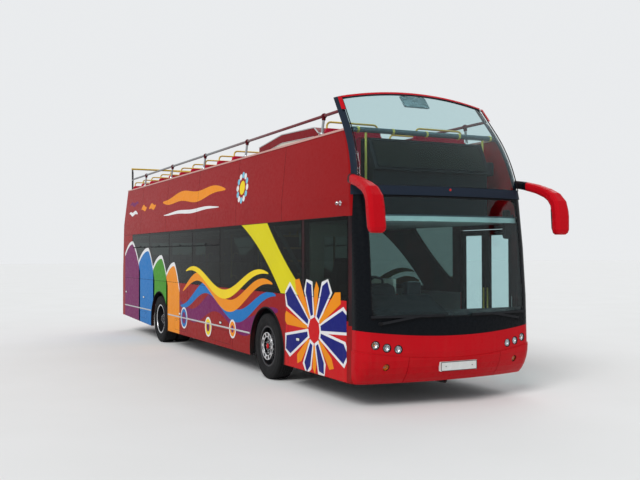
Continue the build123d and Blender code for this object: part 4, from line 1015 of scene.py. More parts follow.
def make_wheel_trim():
    bolt_profile = [(r * bolt_size, a * bolt_size) for r, a in nut_profile]
    for name, body, x, side, places in wheel_table:
        front = len(places) == 1
        dish, hub_end, bolt_foot, cap = wheel_ends["front" if front else "rear"]
        mesh = bmesh.new()
        place = wheel_place(x, side * places[0], side)
        add_turned(mesh, trim_profile, place, 64, 1 if front else 0)
        for k in range(wheel_nuts):
            centre = place(2 * pi * (k + 0.5) / wheel_nuts, nut_circle, disc_face(dish, nut_circle))
            add_turned(mesh, nut_profile, about(centre, (0, side, 0)), 6)
        sleeve = ((0.0948, disc_face(dish, 0.095) - 0.004), (0.1, disc_face(dish, 0.1) - 0.003))
        sleeve += ((0.1, hub_end - 0.006), (0.0965, hub_end - 0.001), (0.0948, hub_end - 0.001))
        add_turned(mesh, sleeve, place, 40, 1)
        add_turned(mesh, cap, place, 40, 1)
        if front:
            add_turned(mesh, front_button, place, 32, 2)
            add_guard(mesh, place, dish)
        for k in range(hub_bolts):
            centre = place(2 * pi * k / hub_bolts, hub_bolt_circle, bolt_foot)
            add_turned(mesh, bolt_profile, about(centre, (0, side, 0)), 6)
        line = [place(valve_turn, radius, disc_face(dish, over) + out) for radius, over, out in valve_stem]
        add_tube(mesh, line, 0.0045, 8, index=1)
        new_piece(f"wheel_trim_{name}", mesh, ["trim", "dark_rim", "hub_red"], body, smooth=32)


# Front lamps: distance from the centre plane, height, size, and the finishes of the bowl and the bulb
front_lamps = ((1.073, 0.76, 1.0, 1, 4), (0.937, 0.725, 1.0, 1, 3), (0.797, 0.705, 1.0, 1, 3),
               (0.937, 0.497, 42 / 52, 4, 3))
bezel_profile = ((0.0517, -0.0008), (0.0517, -0.022), (0.0428, -0.022), (0.0415, -0.0065), (0.0445, -0.0008))
bowl_profile = ((0, -0.0485), (0.014, -0.0485), (0.034, -0.04), (0.0422, -0.02), (0.0422, -0.0095),
                (0.0405, -0.0095), (0.0395, -0.018), (0.032, -0.03), (0.018, -0.0405), (0, -0.043))
bulb_profile = ((0, -0.044), (0.009, -0.042), (0.01, -0.03), (0.006, -0.021), (0, -0.0185))
lens_profile = ((0, -0.0018), (0.02, -0.0026), (0.0412, -0.006), (0.0412, -0.0085), (0.02, -0.0052),
                (0, -0.0044))


def lamp_place(y, z, size):
    """Points about a lamp's middle, laid on the curve of the front."""
    def place(turn, radius, along):
        return on_nose(y + size * radius * cos(turn), z + size * radius * sin(turn), along)
    return place


def make_front_lamps():
    """A dark bezel, a bowl, a bulb and a domed lens in the space of each plain lamp."""
    mesh = bmesh.new()
    for side in (-1, 1):
        for y, z, size, bowl, bulb in front_lamps:
            place = lamp_place(side * y, z, size)
            add_turned(mesh, bezel_profile, place, 40, 0)
            add_turned(mesh, bowl_profile, place, 40, bowl)
            add_turned(mesh, bulb_profile, place, 16, bulb)
            add_turned(mesh, lens_profile, place, 40, 2)
    piece = new_piece("front_lamp_units", mesh, ["black", "trim", "lens", "lining", "amber"], smooth=32)
    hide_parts("front_lamps")


# Tail lamps: distance from the centre plane, height and finish
tail_lamp_places = ((1.01, 0.72, 0), (1.01, 0.88, 1), (1.01, 1.04, 0))


def make_tail_lamps():
    lens = [(0, 0), (0.0548, 0), (0.0548, 0.0295), (0.051, 0.0335)]
    for k in range(6):
        radius, out = 0.046 - 0.0075 * k, 0.0004 * k
        lens += [(radius, 0.0342 + out), (radius - 0.0015, 0.0328 + out), (radius - 0.004, 0.0345 + out)]
    lens.append((0, 0.0366))
    rim = ((0.0555, 0.024), (0.0555, 0.0305), (0.059, 0.0305), (0.0625, 0.0255), (0.0625, 0.0245))
    mesh = bmesh.new()
    for side in (-1, 1):
        for y, z, index in tail_lamp_places:
            place = about((x_tail + 0.0247, side * y, z), (-1, 0, 0))
            add_turned(mesh, lens, place, 40, index)
            add_turned(mesh, rim, place, 40, 2)
    piece = new_piece("tail_lamp_lenses", mesh, ["red_lens", "amber", "rubber"], smooth=32)
    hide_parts("tail_lamps")


# Side trim: arch lips, a rub strip, seams, hopper bars over the panes and side lamps
lip_section = ((0.6185, -0.004), (0.6185, 0.006), (0.622, 0.008), (0.634, 0.0075), (0.641, 0.0))
lip_reach = 0.641
strip_section = ((0.604, -0.0002), (0.608, 0.0055), (0.618, 0.0078), (0.628, 0.0055), (0.632, -0.0002))
bay_edges = (-5.145, -3.645, -2.145, -0.645, 0.855)
skirt_seams = (-4.62, -3.72, -1.85, -0.95, 0.35, 1.45, 3.62)
upper_seams = (-4.4, -2.4, -0.4, 1.6, 3.4)
# Hatches in the skirt: rear end, front end, foot and top
hatches = ((-4.55, -3.85, 0.42, 0.56), (-1.75, -1.05, 0.36, 0.57), (0.45, 1.35, 0.36, 0.57))
screw_profile = ((0, 0), (0.012, 0), (0.012, 0.002), (0, 0.003))
hopper_z = 1.97
side_lamp_places = ((-5.72, 0.93), (-4.1, 0.875), (-1.4, 0.68), (0.9, 0.68), (3.95, 0.68))
side_lamp_steps = ((1.0, -0.0002), (1.0, 0.006), (0.86, 0.007), (0.86, 0.012), (0.7, 0.0155), (0.35, 0.017))
x_kerb_door = 4.2
seam_gap = 0.004
seam_depth = 0.0009


def raised(middle, half, height):
    """The section of a flat strip on the side: height and depth of its four corners."""
    low, high = middle - half, middle + half
    return ((low, -0.0002), (low, height), (high, height), (high, -0.0002))


def add_side_run(mesh, place, x_low, x_high, section):
    add_skin(mesh, [[place(x, z, depth) for z, depth in section] for x in (x_low, x_high)])


def add_side_seam(mesh, place, x, z_low, z_high, half=0.0022):
    outline = [(x - half, z_low), (x + half, z_low), (x + half, z_high), (x - half, z_high)]
    add_plate(mesh, outline, place, seam_depth)


def make_arch_lips(side, place):
    mesh = bmesh.new()
    for x_axle in (x_front_axle, x_rear_axle):
        x, z = x_axle + arch_forward, tyre_radius - arch_drop
        start = asin((skirt_bottom + 0.003 - z) / lip_reach)
        rings = []
        for k in range(49):
            turn = start + (pi - 2 * start) * k / 48
            rings.append([place(x + r * cos(turn), z + r * sin(turn), depth) for r, depth in lip_section])
        add_skin(mesh, rings, index=1)
    reach = lip_reach + 0.012
    rear, front = x_rear_axle + arch_forward, x_front_axle + arch_forward
    add_side_run(mesh, place, rear + reach, front - reach, strip_section)
    add_side_run(mesh, place, x_side_end + 0.01, rear - reach, strip_section)
    new_piece(f"arch_lips_{side_names[side]}", mesh, ["lining", "rubber"], smooth=32)


def make_side_seams(side, place):
    mesh = bmesh.new()
    for x in skirt_seams:
        add_side_seam(mesh, place, x, skirt_bottom + 0.03, waist - seam_gap)
    for x in bay_edges:
        add_side_seam(mesh, place, x, waist + seam_gap, deck_line - seam_gap, 0.004)
    for x in upper_seams:
        add_side_seam(mesh, place, x, deck_line + seam_gap, band_bottom)
        add_side_seam(mesh, place, x, band_bottom, parapet_top - 0.002)
    for z in (deck_line, waist):
        x_end = x_kerb_door if side > 0 and z == waist else x_screen - 0.15
        add_side_run(mesh, place, x_side_end, x_end, raised(z, 0.003, 0.0012))
    for x_low, x_high, z_low, z_high in hatches:
        hatch = rounded_outline(x_low, x_high, z_low, z_high, 0.02)
        add_tube(mesh, [place(x, z, 0.0) for x, z in hatch], 0.0022, 4, True)
        for x in (x_low + 0.1, x_high - 0.1):
            add_turned(mesh, screw_profile, about(place(x, z_high - 0.03, 0), (0, side, 0)), 12)
    new_piece(f"side_seams_{side_names[side]}", mesh, "rubber", plates=True)


def make_hopper_bars(side, place):
    mesh = bmesh.new()
    for x_low, x_high in zip(bay_edges, bay_edges[1:]):
        add_side_run(mesh, place, x_low + 0.06, x_high - 0.06, raised(hopper_z, 0.011, 0.0045))
        catch = rounded_outline(x_low + 0.71, x_low + 0.79, hopper_z + 0.01, hopper_z + 0.035, 0.008, 3)
        add_plate(mesh, catch, place, 0.007)
    new_piece(f"hopper_bars_{side_names[side]}", mesh, "rubber", plates=True)


def make_side_lamps(side, place):
    mesh = bmesh.new()
    case = centred(0.05, 0.021, 0.012, 4)
    for x, z in side_lamp_places:
        rings = []
        for grow, depth in side_lamp_steps:
            rings.append([place(x + grow * u, z + (grow - 0.5 * (1 - grow)) * v, depth) for u, v in case])
        add_skin(mesh, rings[:2], index=1)
        add_skin(mesh, rings[2:], index=0)
    new_piece(f"side_lamps_{side_names[side]}", mesh, ["plate", "rubber"], smooth=32)


# Front trim: beads round both screens, a red strip on the arch, plate borders, wiper rubbers and a lamp
glass_half = 1.11
glass_low, glass_high = 1.07, 2.5
upper_low, upper_high = 2.63, 3.74
arch_top = 3.91
arch_sweep = 5.2833
arch_bar = 0.045
frame_post = 0.055
top_strip = ((-0.024, 0.0), (-0.024, 0.004), (-0.004, 0.006), (0.001, 0.001), (0.0, -0.04))
end_strip = ((-0.022, 0.0), (-0.02, 0.007), (0.018, 0.007), (0.026, -0.004))
blade_section = ((1.077, 0.028), (1.068, 0.02), (1.06, 0.001), (1.064, 0.0008), (1.074, 0.014),
                 (1.08, 0.014))
cap_profile = ((0, 0), (0.024, 0), (0.023, 0.006), (0.012, 0.011), (0, 0.012))
spot_profile = ((0, 0), (0.016, 0), (0.015, 0.004), (0.008, 0.007), (0, 0.008))
plate_screw = ((0, -0.001), (0.007, -0.001), (0.006, 0.0025), (0, 0.003))
# Number plates: x of the face, height of the middle and the way it faces
plate_places = ((x_nose + 0.018, 0.48, 1), (x_tail - 0.0063, 0.4505, -1))


def arch_height(y, drop=0.0):
    """The height of the upper screen's arched edge at a distance from the centre plane."""
    return arch_top - drop - arch_sweep + sqrt(arch_sweep**2 - y**2)


def make_screen_beads():
    mesh = bmesh.new()
    outline = rounded_outline(-glass_half, glass_half, glass_low, glass_high, 0.11, 6)
    add_tube(mesh, [on_nose(y, z) for y, z in walk(outline, 0.1, 0.1)], 0.0075, 8, True)
    low_half = half_width_at(upper_low) - frame_post
    head_half = half_width_at(upper_high) - frame_post
    rise = (arch_height(head_half, arch_bar) - upper_low) / 16
    post = [upper_low + rise * k for k in range(1, 16)]
    line = [(low_half * (2 * k / 24 - 1), upper_low) for k in range(25)]
    line += [(half_width_at(z) - frame_post, z) for z in post]
    head = [head_half * (1 - 2 * k / 24) for k in range(25)]
    line += [(y, arch_height(y, arch_bar)) for y in head]
    line += [(frame_post - half_width_at(z), z) for z in reversed(post)]
    add_tube(mesh, [on_nose(y, z) for y, z in line], 0.007, 8, True)
    new_piece("screen_beads", mesh, "rubber", smooth=40)


# Half the length of the strip over the screen, where its ends hang, and the wipers from the middle out
strip_half, strip_end_y = 1.06, 1.09
wiper_from, wiper_length = 0.2, 0.93
wiper_boss = (1.018, 1.008)


def make_top_strip():
    mesh = bmesh.new()
    rings = []
    for k in range(41):
        y = strip_half * (2 * k / 40 - 1)
        rings.append([on_nose(y, arch_height(y) - 0.002 + up, out) for up, out in top_strip])
    add_skin(mesh, rings)
    for side in (-1, 1):
        rings = []
        for k in range(7):
            z = arch_height(strip_end_y) - 0.012 - 0.03 * k
            y = half_width_at(z) - 0.03
            rings.append([on_nose(side * (y + u), z, out) for u, out in end_strip])
        add_skin(mesh, rings)
    new_piece("screen_top_strip", mesh, "bumper", smooth=40)


def make_plate_borders():
    mesh = bmesh.new()
    outline = centred(0.257, 0.0515, 0.008, 3)
    for x, z, facing in plate_places:
        add_tube(mesh, [(x, y, z + up) for y, up in outline], 0.0035, 6, True)
        for y in (-0.19, 0.19):
            add_turned(mesh, plate_screw, about((x, y, z), (facing, 0, 0)), 12)
    new_piece("plate_borders", mesh, "rubber", smooth=40)


def make_wiper_rubbers():
    mesh = bmesh.new()
    for side in (-1, 1):
        across = [side * (wiper_from + wiper_length * k / 24) for k in range(25)]
        add_skin(mesh, [[on_nose(y, z, out) for z, out in blade_section] for y in across])
        y, z = wiper_boss
        add_turned(mesh, cap_profile, about(on_nose(side * y, z, 0.029), (1, 0, 0)), 24)
    new_piece("wiper_rubbers", mesh, "rubber", smooth=40)
    spot = bmesh.new()
    add_turned(spot, spot_profile, about(on_nose(0, 2.595, 0.012), (1, 0, 0)), 20)
    new_piece("band_lamp", spot, "red_lens", smooth=40)


# Mirror glasses, each in a dark tray on the head's rear face, which leans
x_mirror_face = x_nose + 0.255
y_mirror = half_width + 0.069
mirror_middle = 2.24
mirror_lean = 0.01 / 0.17
mirror_tray = (-0.088, 0.088, 2.09, 2.4)
mirror_pane_half = 0.078
mirror_panes = ((2.105, 2.255), (2.265, 2.385))


def mirror_place(side):
    def place(u, v, depth):
        x = x_mirror_face - mirror_lean * (v - mirror_middle) - depth
        return Vector((x, side * y_mirror + u, v))
    return place


def make_mirror_glass():
    trays, glasses = bmesh.new(), bmesh.new()
    for side in (-1, 1):
        place = mirror_place(side)
        add_plate(trays, rounded_outline(*mirror_tray, 0.045), place, 0.004, base=-0.016)
        for low, high in mirror_panes:
            pane = rounded_outline(-mirror_pane_half, mirror_pane_half, low, high, 0.034)
            add_plate(glasses, pane, place, 0.0058, base=0.0035)
    new_piece("mirror_trays", trays, "plastic", plates=True)
    new_piece("mirror_glasses", glasses, "mirror_glass", plates=True)


# Upper deck: joints of the side rails, clamps and posts of the front rail
deck_top = 2.29
rail_height = 3.6
rail_y = 1.112
rail_foot_y = 1.1475
capping_top = 3.3513
rail_posts = (4.455, 1.765, -0.295, -2.355, -4.415)
x_hoop = -5.98
x_front_rail = nose_line(3.34) - 0.195
ball_profile = ((0.0198, -0.036), (0.0255, -0.035), (0.0325, -0.02), (0.035, 0.0), (0.0325, 0.02),
                (0.0255, 0.035), (0.0198, 0.036))
sleeve_profile = ((0.0168, 0.02), (0.0255, 0.022), (0.0255, 0.05), (0.023, 0.058), (0.0168, 0.06))
flange_profile = ((0.0168, 0.0), (0.042, 0.0), (0.042, 0.005), (0.026, 0.012), (0.021, 0.026),
                  (0.0168, 0.026))
clamp_profile = ((0.0326, -0.016), (0.0385, -0.014), (0.0395, 0.0), (0.0385, 0.014), (0.0326, 0.016))
# A brace beside each tail post: up from the capping and over to the hoop
x_brace = -5.87
brace_line = ((x_brace, 1.062, capping_top - 0.002), (x_brace, 1.06, 3.72), (-5.885, 1.057, 3.79),
              (-5.93, 1.052, 3.84), (x_hoop, 1.05, 3.85))
front_rail_z = 3.34
front_rail_clamps = (-1.0, -0.5, 0.0, 0.5, 1.0)
front_post_y = 0.885


def make_rail_fittings():
    mesh = bmesh.new()
    for side in (-1, 1):
        for x in rail_posts:
            head, foot = (x, side * rail_y, rail_height), (x, side * rail_foot_y, capping_top)
            add_turned(mesh, ball_profile, about(head, (1, 0, 0)), 20, 0)
            add_turned(mesh, sleeve_profile, about(head, (0, 0.13 * side, -1)), 20, 0)
            add_turned(mesh, flange_profile, about(foot, (0, -0.13 * side, 1)), 24, 1)
        add_tube(mesh, [(x, side * y, z) for x, y, z in brace_line], 0.011, 10, index=2)
        for x, y in ((x_hoop, 1.05), (x_brace, 1.062)):
            add_turned(mesh, flange_profile, about((x, side * y, capping_top), (0, 0, 1)), 20, 2)
    new_piece("rail_fittings", mesh, ["dark_red", "trim", "dark_rim"], smooth=35)

    clamps = bmesh.new()
    for y in front_rail_clamps:
        add_turned(clamps, clamp_profile, about((x_front_rail, y, front_rail_z), (0, 1, 0)), 28)
    for y in (-front_post_y, front_post_y):
        add_tube(clamps, [(x_front_rail, y, z) for z in (deck_top, 2.8, front_rail_z - 0.02)], 0.016, 12)
        add_turned(clamps, flange_profile, about((x_front_rail, y, deck_top), (0, 0, 1)), 20)
    new_piece("front_rail_clamps", clamps, "rail", smooth=35)


# Double seats: x of the top of the back and side; all share one side profile
upper_rows = [(-5.70 + k * 0.745, side) for k in range(10) for side in (-1, 1)]
upper_rows += [(4.405, -1)] + [(4.405 - k * 0.68, 1) for k in range(5)]
upper_seat_y = (0.26, 1.105)
upper_back_top = 3.38
pan_rise = 0.4
cushion_top_rise = 0.48
hip_reach = 0.07
shell_thick = 0.06
pan_length = 0.43
loop_rise = 0.15
loop_turn = 0.06
seat_rib = 0.011
# A seat's top: how far forward of its back, and how far in from its outline
seat_top_rise = 0.068
seat_top_rings = ((0.004, 0.012), (0.008, 0.002), (0.018, 0.0), (0.042, 0.0), (0.052, 0.002), (0.056, 0.012))


def back_place(x_back, y_middle, z_floor, top_rise):
    """Points on a seat's back: across it, up its lean from the cushion, and forward of its rear face."""
    drop = top_rise - cushion_top_rise
    lean = hip_reach * drop / (top_rise - pan_rise)
    up = Vector((-lean, 0, drop)).normalized()
    forward = Vector((drop, 0, lean)).normalized()
    origin = Vector((x_back + lean, y_middle, z_floor + cushion_top_rise))

    def place(u, v, w):
        return origin + Vector((0, u, 0)) + v * up + w * forward
    return place


def pan_place(x_back, y_middle, z_floor):
    """Points on a seat's pan: across it, forward from its middle, and up from its underside."""
    x_middle = x_back + hip_reach + shell_thick + pan_length / 2

    def place(u, v, w):
        return Vector((x_middle + v, y_middle + u, z_floor + pan_rise + w + 0.046 * v + 0.01))
    return place


def loop_points(x, low, high, foot, top):
    """A yellow loop over a seat's back: two posts and a bar with rounded corners."""
    points = [(x, low, foot), (x, low, top - loop_turn)]
    for a in (0.4, 0.8, 1.2, pi / 2):
        points.append((x, low + loop_turn * (1 - cos(a)), top - loop_turn * (1 - sin(a))))
    for a in (0.0, 0.4, 0.8, 1.2):
        points.append((x, high - loop_turn * (1 - sin(a)), top - loop_turn * (1 - cos(a))))
    return points + [(x, high, top - loop_turn), (x, high, foot)]


def add_seat_ribs(mesh, x_back, side):
    """Beads round both halves of a double seat's back and pan, in front, on top and behind."""
    low, high = upper_seat_y
    middle, half = side * (low + high) / 2, (high - low) / 2
    back = back_place(x_back, middle, deck_top, upper_back_top - deck_top)
    pan = pan_place(x_back, middle, deck_top)
    for share in (-1, 1):
        u_low, u_high = sorted((share * 0.018, share * (half - 0.012)))
        face = rounded_outline(u_low, u_high, 0.05, 0.58, 0.07, 4)
        add_tube(mesh, [back(u, v, 0.061 + 0.003 * (v < 0.3)) for u, v in face], seat_rib, 6, True)
        face = rounded_outline(u_low, u_high, -0.19, 0.2, 0.07, 4)
        add_tube(mesh, [pan(u, v, 0.079) for u, v in face], seat_rib, 6, True)
        face = rounded_outline(u_low + 0.04, u_high - 0.04, 0.1, 0.52, 0.05, 4)
        add_tube(mesh, [back(u, v, 0.001) for u, v in face], 0.007, 6, True)


def make_upper_seats():
    loops, ribs = bmesh.new(), bmesh.new()
    low, high = upper_seat_y
    for x_back, side in upper_rows:
        line = loop_points(x_back + 0.03, low + 0.043, high - 0.043, upper_back_top - 0.02,
                           upper_back_top + loop_rise)
        add_tube(loops, [(x, side * y, z) for x, y, z in line], 0.013, 10)
        rings = []
        for ahead, inset in seat_top_rings:
            face = rounded_outline(low + 0.006 + inset, high - 0.006 - inset, upper_back_top - 0.06,
                                   upper_back_top + seat_top_rise - inset, 0.045)
            rings.append([(x_back + ahead, side * y, z) for y, z in face])
        add_skin(ribs, rings)
        add_seat_ribs(ribs, x_back, side)
    piece = new_piece("upper_seat_loops", loops, "rail", smooth=50)
    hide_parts("upper_seat_rails")
    new_piece("upper_seat_ribs", ribs, "seat", smooth=60)


# Cushions: a crowned pad, flat below, whose sides pull in between its corners, with sewn channels
groove_half = 0.014
seam_share = 0.4
side_pull = 0.028
end_pull = 0.04


def samples(half, grooves, count):
    """Places from side to side, closer at the rims and at each groove."""
    near = [g + k * groove_half / 2 for g in grooves for k in (-2, -1, 0, 1, 2)]
    even = [half * sin(pi * (k / count - 0.5)) for k in range(count + 1)]
    return sorted([a for a in even if all(abs(a - b) > 0.009 for b in near)] + near)


def groove_depth(distance, depth):
    distance = abs(distance)
    return depth * (0.5 + 0.5 * cos(pi * distance / groove_half)) if distance < groove_half else 0.0


def pad_mesh(half_u, half_v, edge, crown, grooves_u, grooves_v, place, width):
    """A cushion over a rectangle: place(u, v, w) sets it in space and width narrows it along v."""
    mesh = bmesh.new()
    us, vs = samples(half_u, grooves_u, 16), samples(half_v, grooves_v, 12)
    seam = seam_share * edge
    made = {}

    def point(i, j, top):
        rim = i in (0, len(us) - 1) or j in (0, len(vs) - 1)
        key = (i, j, top or rim)
        if key not in made:
            u, v = us[i], vs[j]
            s, t = u / half_u, v / half_v
            full = (max(0.0, 1 - abs(s) ** 9) * max(0.0, 1 - abs(t) ** 9)) ** 0.45
            height = seam - seam * full
            if key[2]:
                height = seam + (edge - seam) * full + crown * (1 - s * s) ** 0.8 * (1 - t * t) ** 0.8
                cuts = [groove_depth(u - g, 0.016) for g in grooves_u]
                cuts += [groove_depth(v - g, 0.012) for g in grooves_v]
                height -= max(cuts) * full
            pull_u = 1 - side_pull * (1 - t * t) * s**4
            pull_v = 1 - end_pull * (1 - s * s) * t**4
            share = width(v) if width else 1.0
            made[key] = mesh.verts.new(place(u * pull_u * share, v * pull_v, height))
        return made[key]

    for i in range(len(us) - 1):
        for j in range(len(vs) - 1):
            corners = ((i, j), (i + 1, j), (i + 1, j + 1), (i, j + 1))
            for top in (True, False):
                mesh.faces.new([point(a, b, top) for a, b in corners])
    return mesh


def pad_rim(half_u, half_v, edge, place):
    """The piped seam round a cushion."""
    points = []
    corners = ((-1, -1), (1, -1), (1, 1), (-1, 1))
    for (s, t), (s_next, t_next) in zip(corners, corners[1:] + corners[:1]):
        for k in range(14):
            a, b = s + (s_next - s) * k / 14, t + (t_next - t) * k / 14
            u = half_u * a * (1 - side_pull * (1 - b * b))
            v = half_v * b * (1 - end_pull * (1 - a * a))
            points.append(place(u, v, seam_share * edge))
    return points


def new_cushion(name, node, slot, finish, shape, place, width=None):
    """A cushion piece that stands for a soft node; shape is half sizes, edge, crown and its grooves."""
    piece = new_piece(name, pad_mesh(*shape, place, width), finish, smooth=70)
    smooth = piece.modifiers.new("smooth", "SUBSURF")
    smooth.levels = smooth.render_levels = 1
    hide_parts(node)


# Saloon rows: x of the top of the back and height of the floor
saloon_rows = ((1.355, 0.37), (0.605, 0.37), (-0.145, 0.37), (-0.895, 0.37), (-2.695, 0.8), (-3.52, 0.8),
               (-4.345, 0.8))
saloon_middle = 0.74
saloon_half = 0.43
saloon_back_rise = 1.0
saloon_leg_y = 0.47
tray = 0.02
# A seat's leg: height, half length and half thickness
leg_steps = ((0, 0.12, 0.025), (0.008, 0.12, 0.025), (0.03, 0.07, 0.018), (0.2, 0.055, 0.016),
             (0.33, 0.07, 0.018), (0.38, 0.115, 0.024), (0.4, 0.12, 0.025))
handle_line = ((0.1, -0.02), (0.1, 0.02), (0.085, 0.035), (0.02, 0.035), (-0.004, 0.018), (-0.006, -0.06),
               (0.01, -0.085))
# Cushions: half sizes, edge, crown, and the grooves along and across
seat_grooves = (-0.28, -0.14, 0.0, 0.14, 0.28)
pan_shape = (0.422, 0.208, 0.05, 0.016, seat_grooves, (0.13,))
back_shape = (0.422, 0.25, 0.038, 0.012, seat_grooves, (0.15,))


def add_seat_frame(mesh, x_back, z_floor, side):
    middle = side * saloon_middle
    back = back_place(x_back, middle, z_floor, saloon_back_rise)
    pan = pan_place(x_back, middle, z_floor)
    shell = rounded_outline(-saloon_half, saloon_half, -0.075, 0.522, 0.06, 6)
    add_plate(mesh, shell, back, 0.016, base=0.0)
    base = centred(saloon_half, pan_length / 2, 0.04, 4)
    add_plate(mesh, base, pan, tray - 0.002, base=0.0)
    x_leg = x_back + hip_reach + shell_thick + pan_length / 2
    y_leg = side * saloon_leg_y
    rings = []
    for z, along, thick in leg_steps:
        outline = centred(along, thick, min(along, thick) * 0.6, 3)
        rings.append([(x_leg + a, y_leg + b, z_floor + z) for a, b in outline])
    add_skin(mesh, rings, index=1)
    x, y, z = x_back + 0.03, side * (saloon_middle - saloon_half), z_floor + saloon_back_rise
    add_tube(mesh, [(x, y + side * out, z + up) for out, up in handle_line], 0.011, 10, index=2)


def saloon_pads(x_back, z_floor, side):
    """Where a saloon seat's two cushions lie: on its pan and on its back."""
    back = back_place(x_back, side * saloon_middle, z_floor, saloon_back_rise)
    pan = pan_place(x_back, side * saloon_middle, z_floor)

    def back_pad(u, v, w):
        return back(u, v + 0.262, w + 0.0165)

    def pan_pad(u, v, w):
        return pan(u, v, w + tray)
    return pan_pad, back_pad


def make_saloon_seats():
    frames, piping = bmesh.new(), bmesh.new()
    places = [(x_back, z_floor, side) for x_back, z_floor in saloon_rows for side in (-1, 1)]
    for number, (x_back, z_floor, side) in enumerate(places, 1):
        add_seat_frame(frames, x_back, z_floor, side)
        pads = zip(("cushion", "backrest"), (pan_shape, back_shape), saloon_pads(x_back, z_floor, side))
        for kind, shape, place in pads:
            new_cushion(f"saloon_{kind}_{number}", "lower_seats", "saloon_fabric", "cloth", shape, place)
            add_tube(piping, pad_rim(*shape[:3], place), 0.004, 6, True)
    frames = new_piece("saloon_seat_frames", frames, ["plastic", "steel", "rail"], smooth=40, plates=True)
    new_piece("saloon_seat_piping", piping, "plastic", smooth=60)


# Driver's seat: pads on a tray, over a bellows pedestal
driver_y = -0.79
driver_x = 4.365
cab_floor = 0.62
driver_lean = 0.0609
driver_back = 0.67
pedestal_x = driver_x + 0.3
pedestal_half = 0.15
driver_pan_shape = (0.232, 0.2, 0.072, 0.016, (-0.15, 0.15), (-0.05, 0.08))
driver_back_shape = (0.232, 0.325, 0.052, 0.008, (-0.15, 0.15), (-0.16, -0.02, 0.14))
# Shells behind the back and below the pan
driver_back_shell = (-0.238, 0.238, -0.38, 0.332)
driver_pan_shell = (-0.235, 0.235, -0.2, 0.205)


def driver_width(v):
    return 1.0 if v < 0.1 else max(0.55, 1.0 - 2.4 * (v - 0.1))


def driver_back_place(u, v, w):
    up = Vector((-driver_lean, 0, driver_back)).normalized()
    forward = Vector((driver_back, 0, driver_lean)).normalized()
    origin = Vector((driver_x + driver_lean, driver_y, cab_floor + 0.48))
    return origin + Vector((0, u, 0)) + (v + driver_back / 2) * up + (w + 0.02) * forward


def driver_pan_place(u, v, w):
    return Vector((driver_x + 0.355 + v, driver_y + u, cab_floor + 0.415 + w + 0.04 * v))


def pedestal_ring(half, corner, steps, height):
    outline = centred(half, half, corner, steps)
    return [(pedestal_x + a, driver_y + b, cab_floor + height) for a, b in outline]


def make_driver_seat():
    pan, back = driver_pan_place, driver_back_place
    node, slot, cloth = "driver_seat", "saloon_fabric", "driver_cloth"
    new_cushion("driver_cushion", node, slot, cloth, driver_pan_shape, pan)
    new_cushion("driver_backrest", node, slot, cloth, driver_back_shape, back, driver_width)
    mesh = bmesh.new()
    shell = [(u * driver_width(v), v) for u, v in rounded_outline(*driver_back_shell, 0.05)]
    add_plate(mesh, shell, back, -0.001, base=-0.02)
    add_plate(mesh, rounded_outline(*driver_pan_shell, 0.04), pan, -0.001, base=-0.022)
    folds = [pedestal_half * (0.86 if k % 2 else 1.0) for k in range(13)]
    rings = [pedestal_ring(half, 0.03, 4, 0.02 + 0.03 * k) for k, half in enumerate(folds)]
    add_skin(mesh, rings, index=1)
    add_skin(mesh, [pedestal_ring(pedestal_half, 0.02, 3, height) for height in (0.0, 0.021)])
    frame_piece = new_piece("driver_seat_frame", mesh, ["plastic", "rubber"], smooth=40, plates=True)


# Stairs and their hood
landing = 1.17
stair_rise = (deck_top - landing) / 6
stair_going = 1.27 / 5
first_tread = x_front_axle + 0.72
# The flight below the landing: y of its top, going and rise
lower_flight = (-0.56, 0.21, 0.2)
tread_across = (-1.185, -0.565)
lower_tread_along = (0.73, 1.335)
# Steps of the lower floor: x and height
floor_steps = ((-1.545, 0.585), (-1.845, 0.8))
nosing_section = ((0.0, -0.026), (0.0025, -0.026), (0.0025, 0.0015), (-0.004, 0.0028), (-0.014, 0.0014),
                  (-0.018, 0.0028), (-0.028, 0.0014), (-0.032, 0.0), (0.0, 0.0))
# The rail on the stairs' wall: its line and brackets, forward of the front axle and up
stair_rail_y = -1.045
stair_rail_line = ((0.34, 2.42), (0.2, 2.5), (-0.3, 2.96), (-0.47, 3.1), (-0.5, 3.16))
stair_brackets = ((0.3, 2.44), (-0.05, 2.73), (-0.42, 3.07))
bracket_profile = ((0, 0), (0.024, 0), (0.022, 0.006), (0, 0.008))
stringer_section = ((-1.191, -0.04), (-1.165, -0.034), (-1.165, 0.034), (-1.191, 0.04))
stringer_ends = ((0.24, 2.225), (1.27, 1.455))


def add_nosing(mesh, edge, ends, z, turned=False):
    """A ribbed strip over a tread's edge, which runs across the bus or, if turned, along it."""
    rings = []
    for across in ends:
        ring = [(edge + out, across, z + up) for out, up in nosing_section]
        rings.append([(y, x, up) for x, y, up in ring] if turned else ring)
    add_skin(mesh, rings)


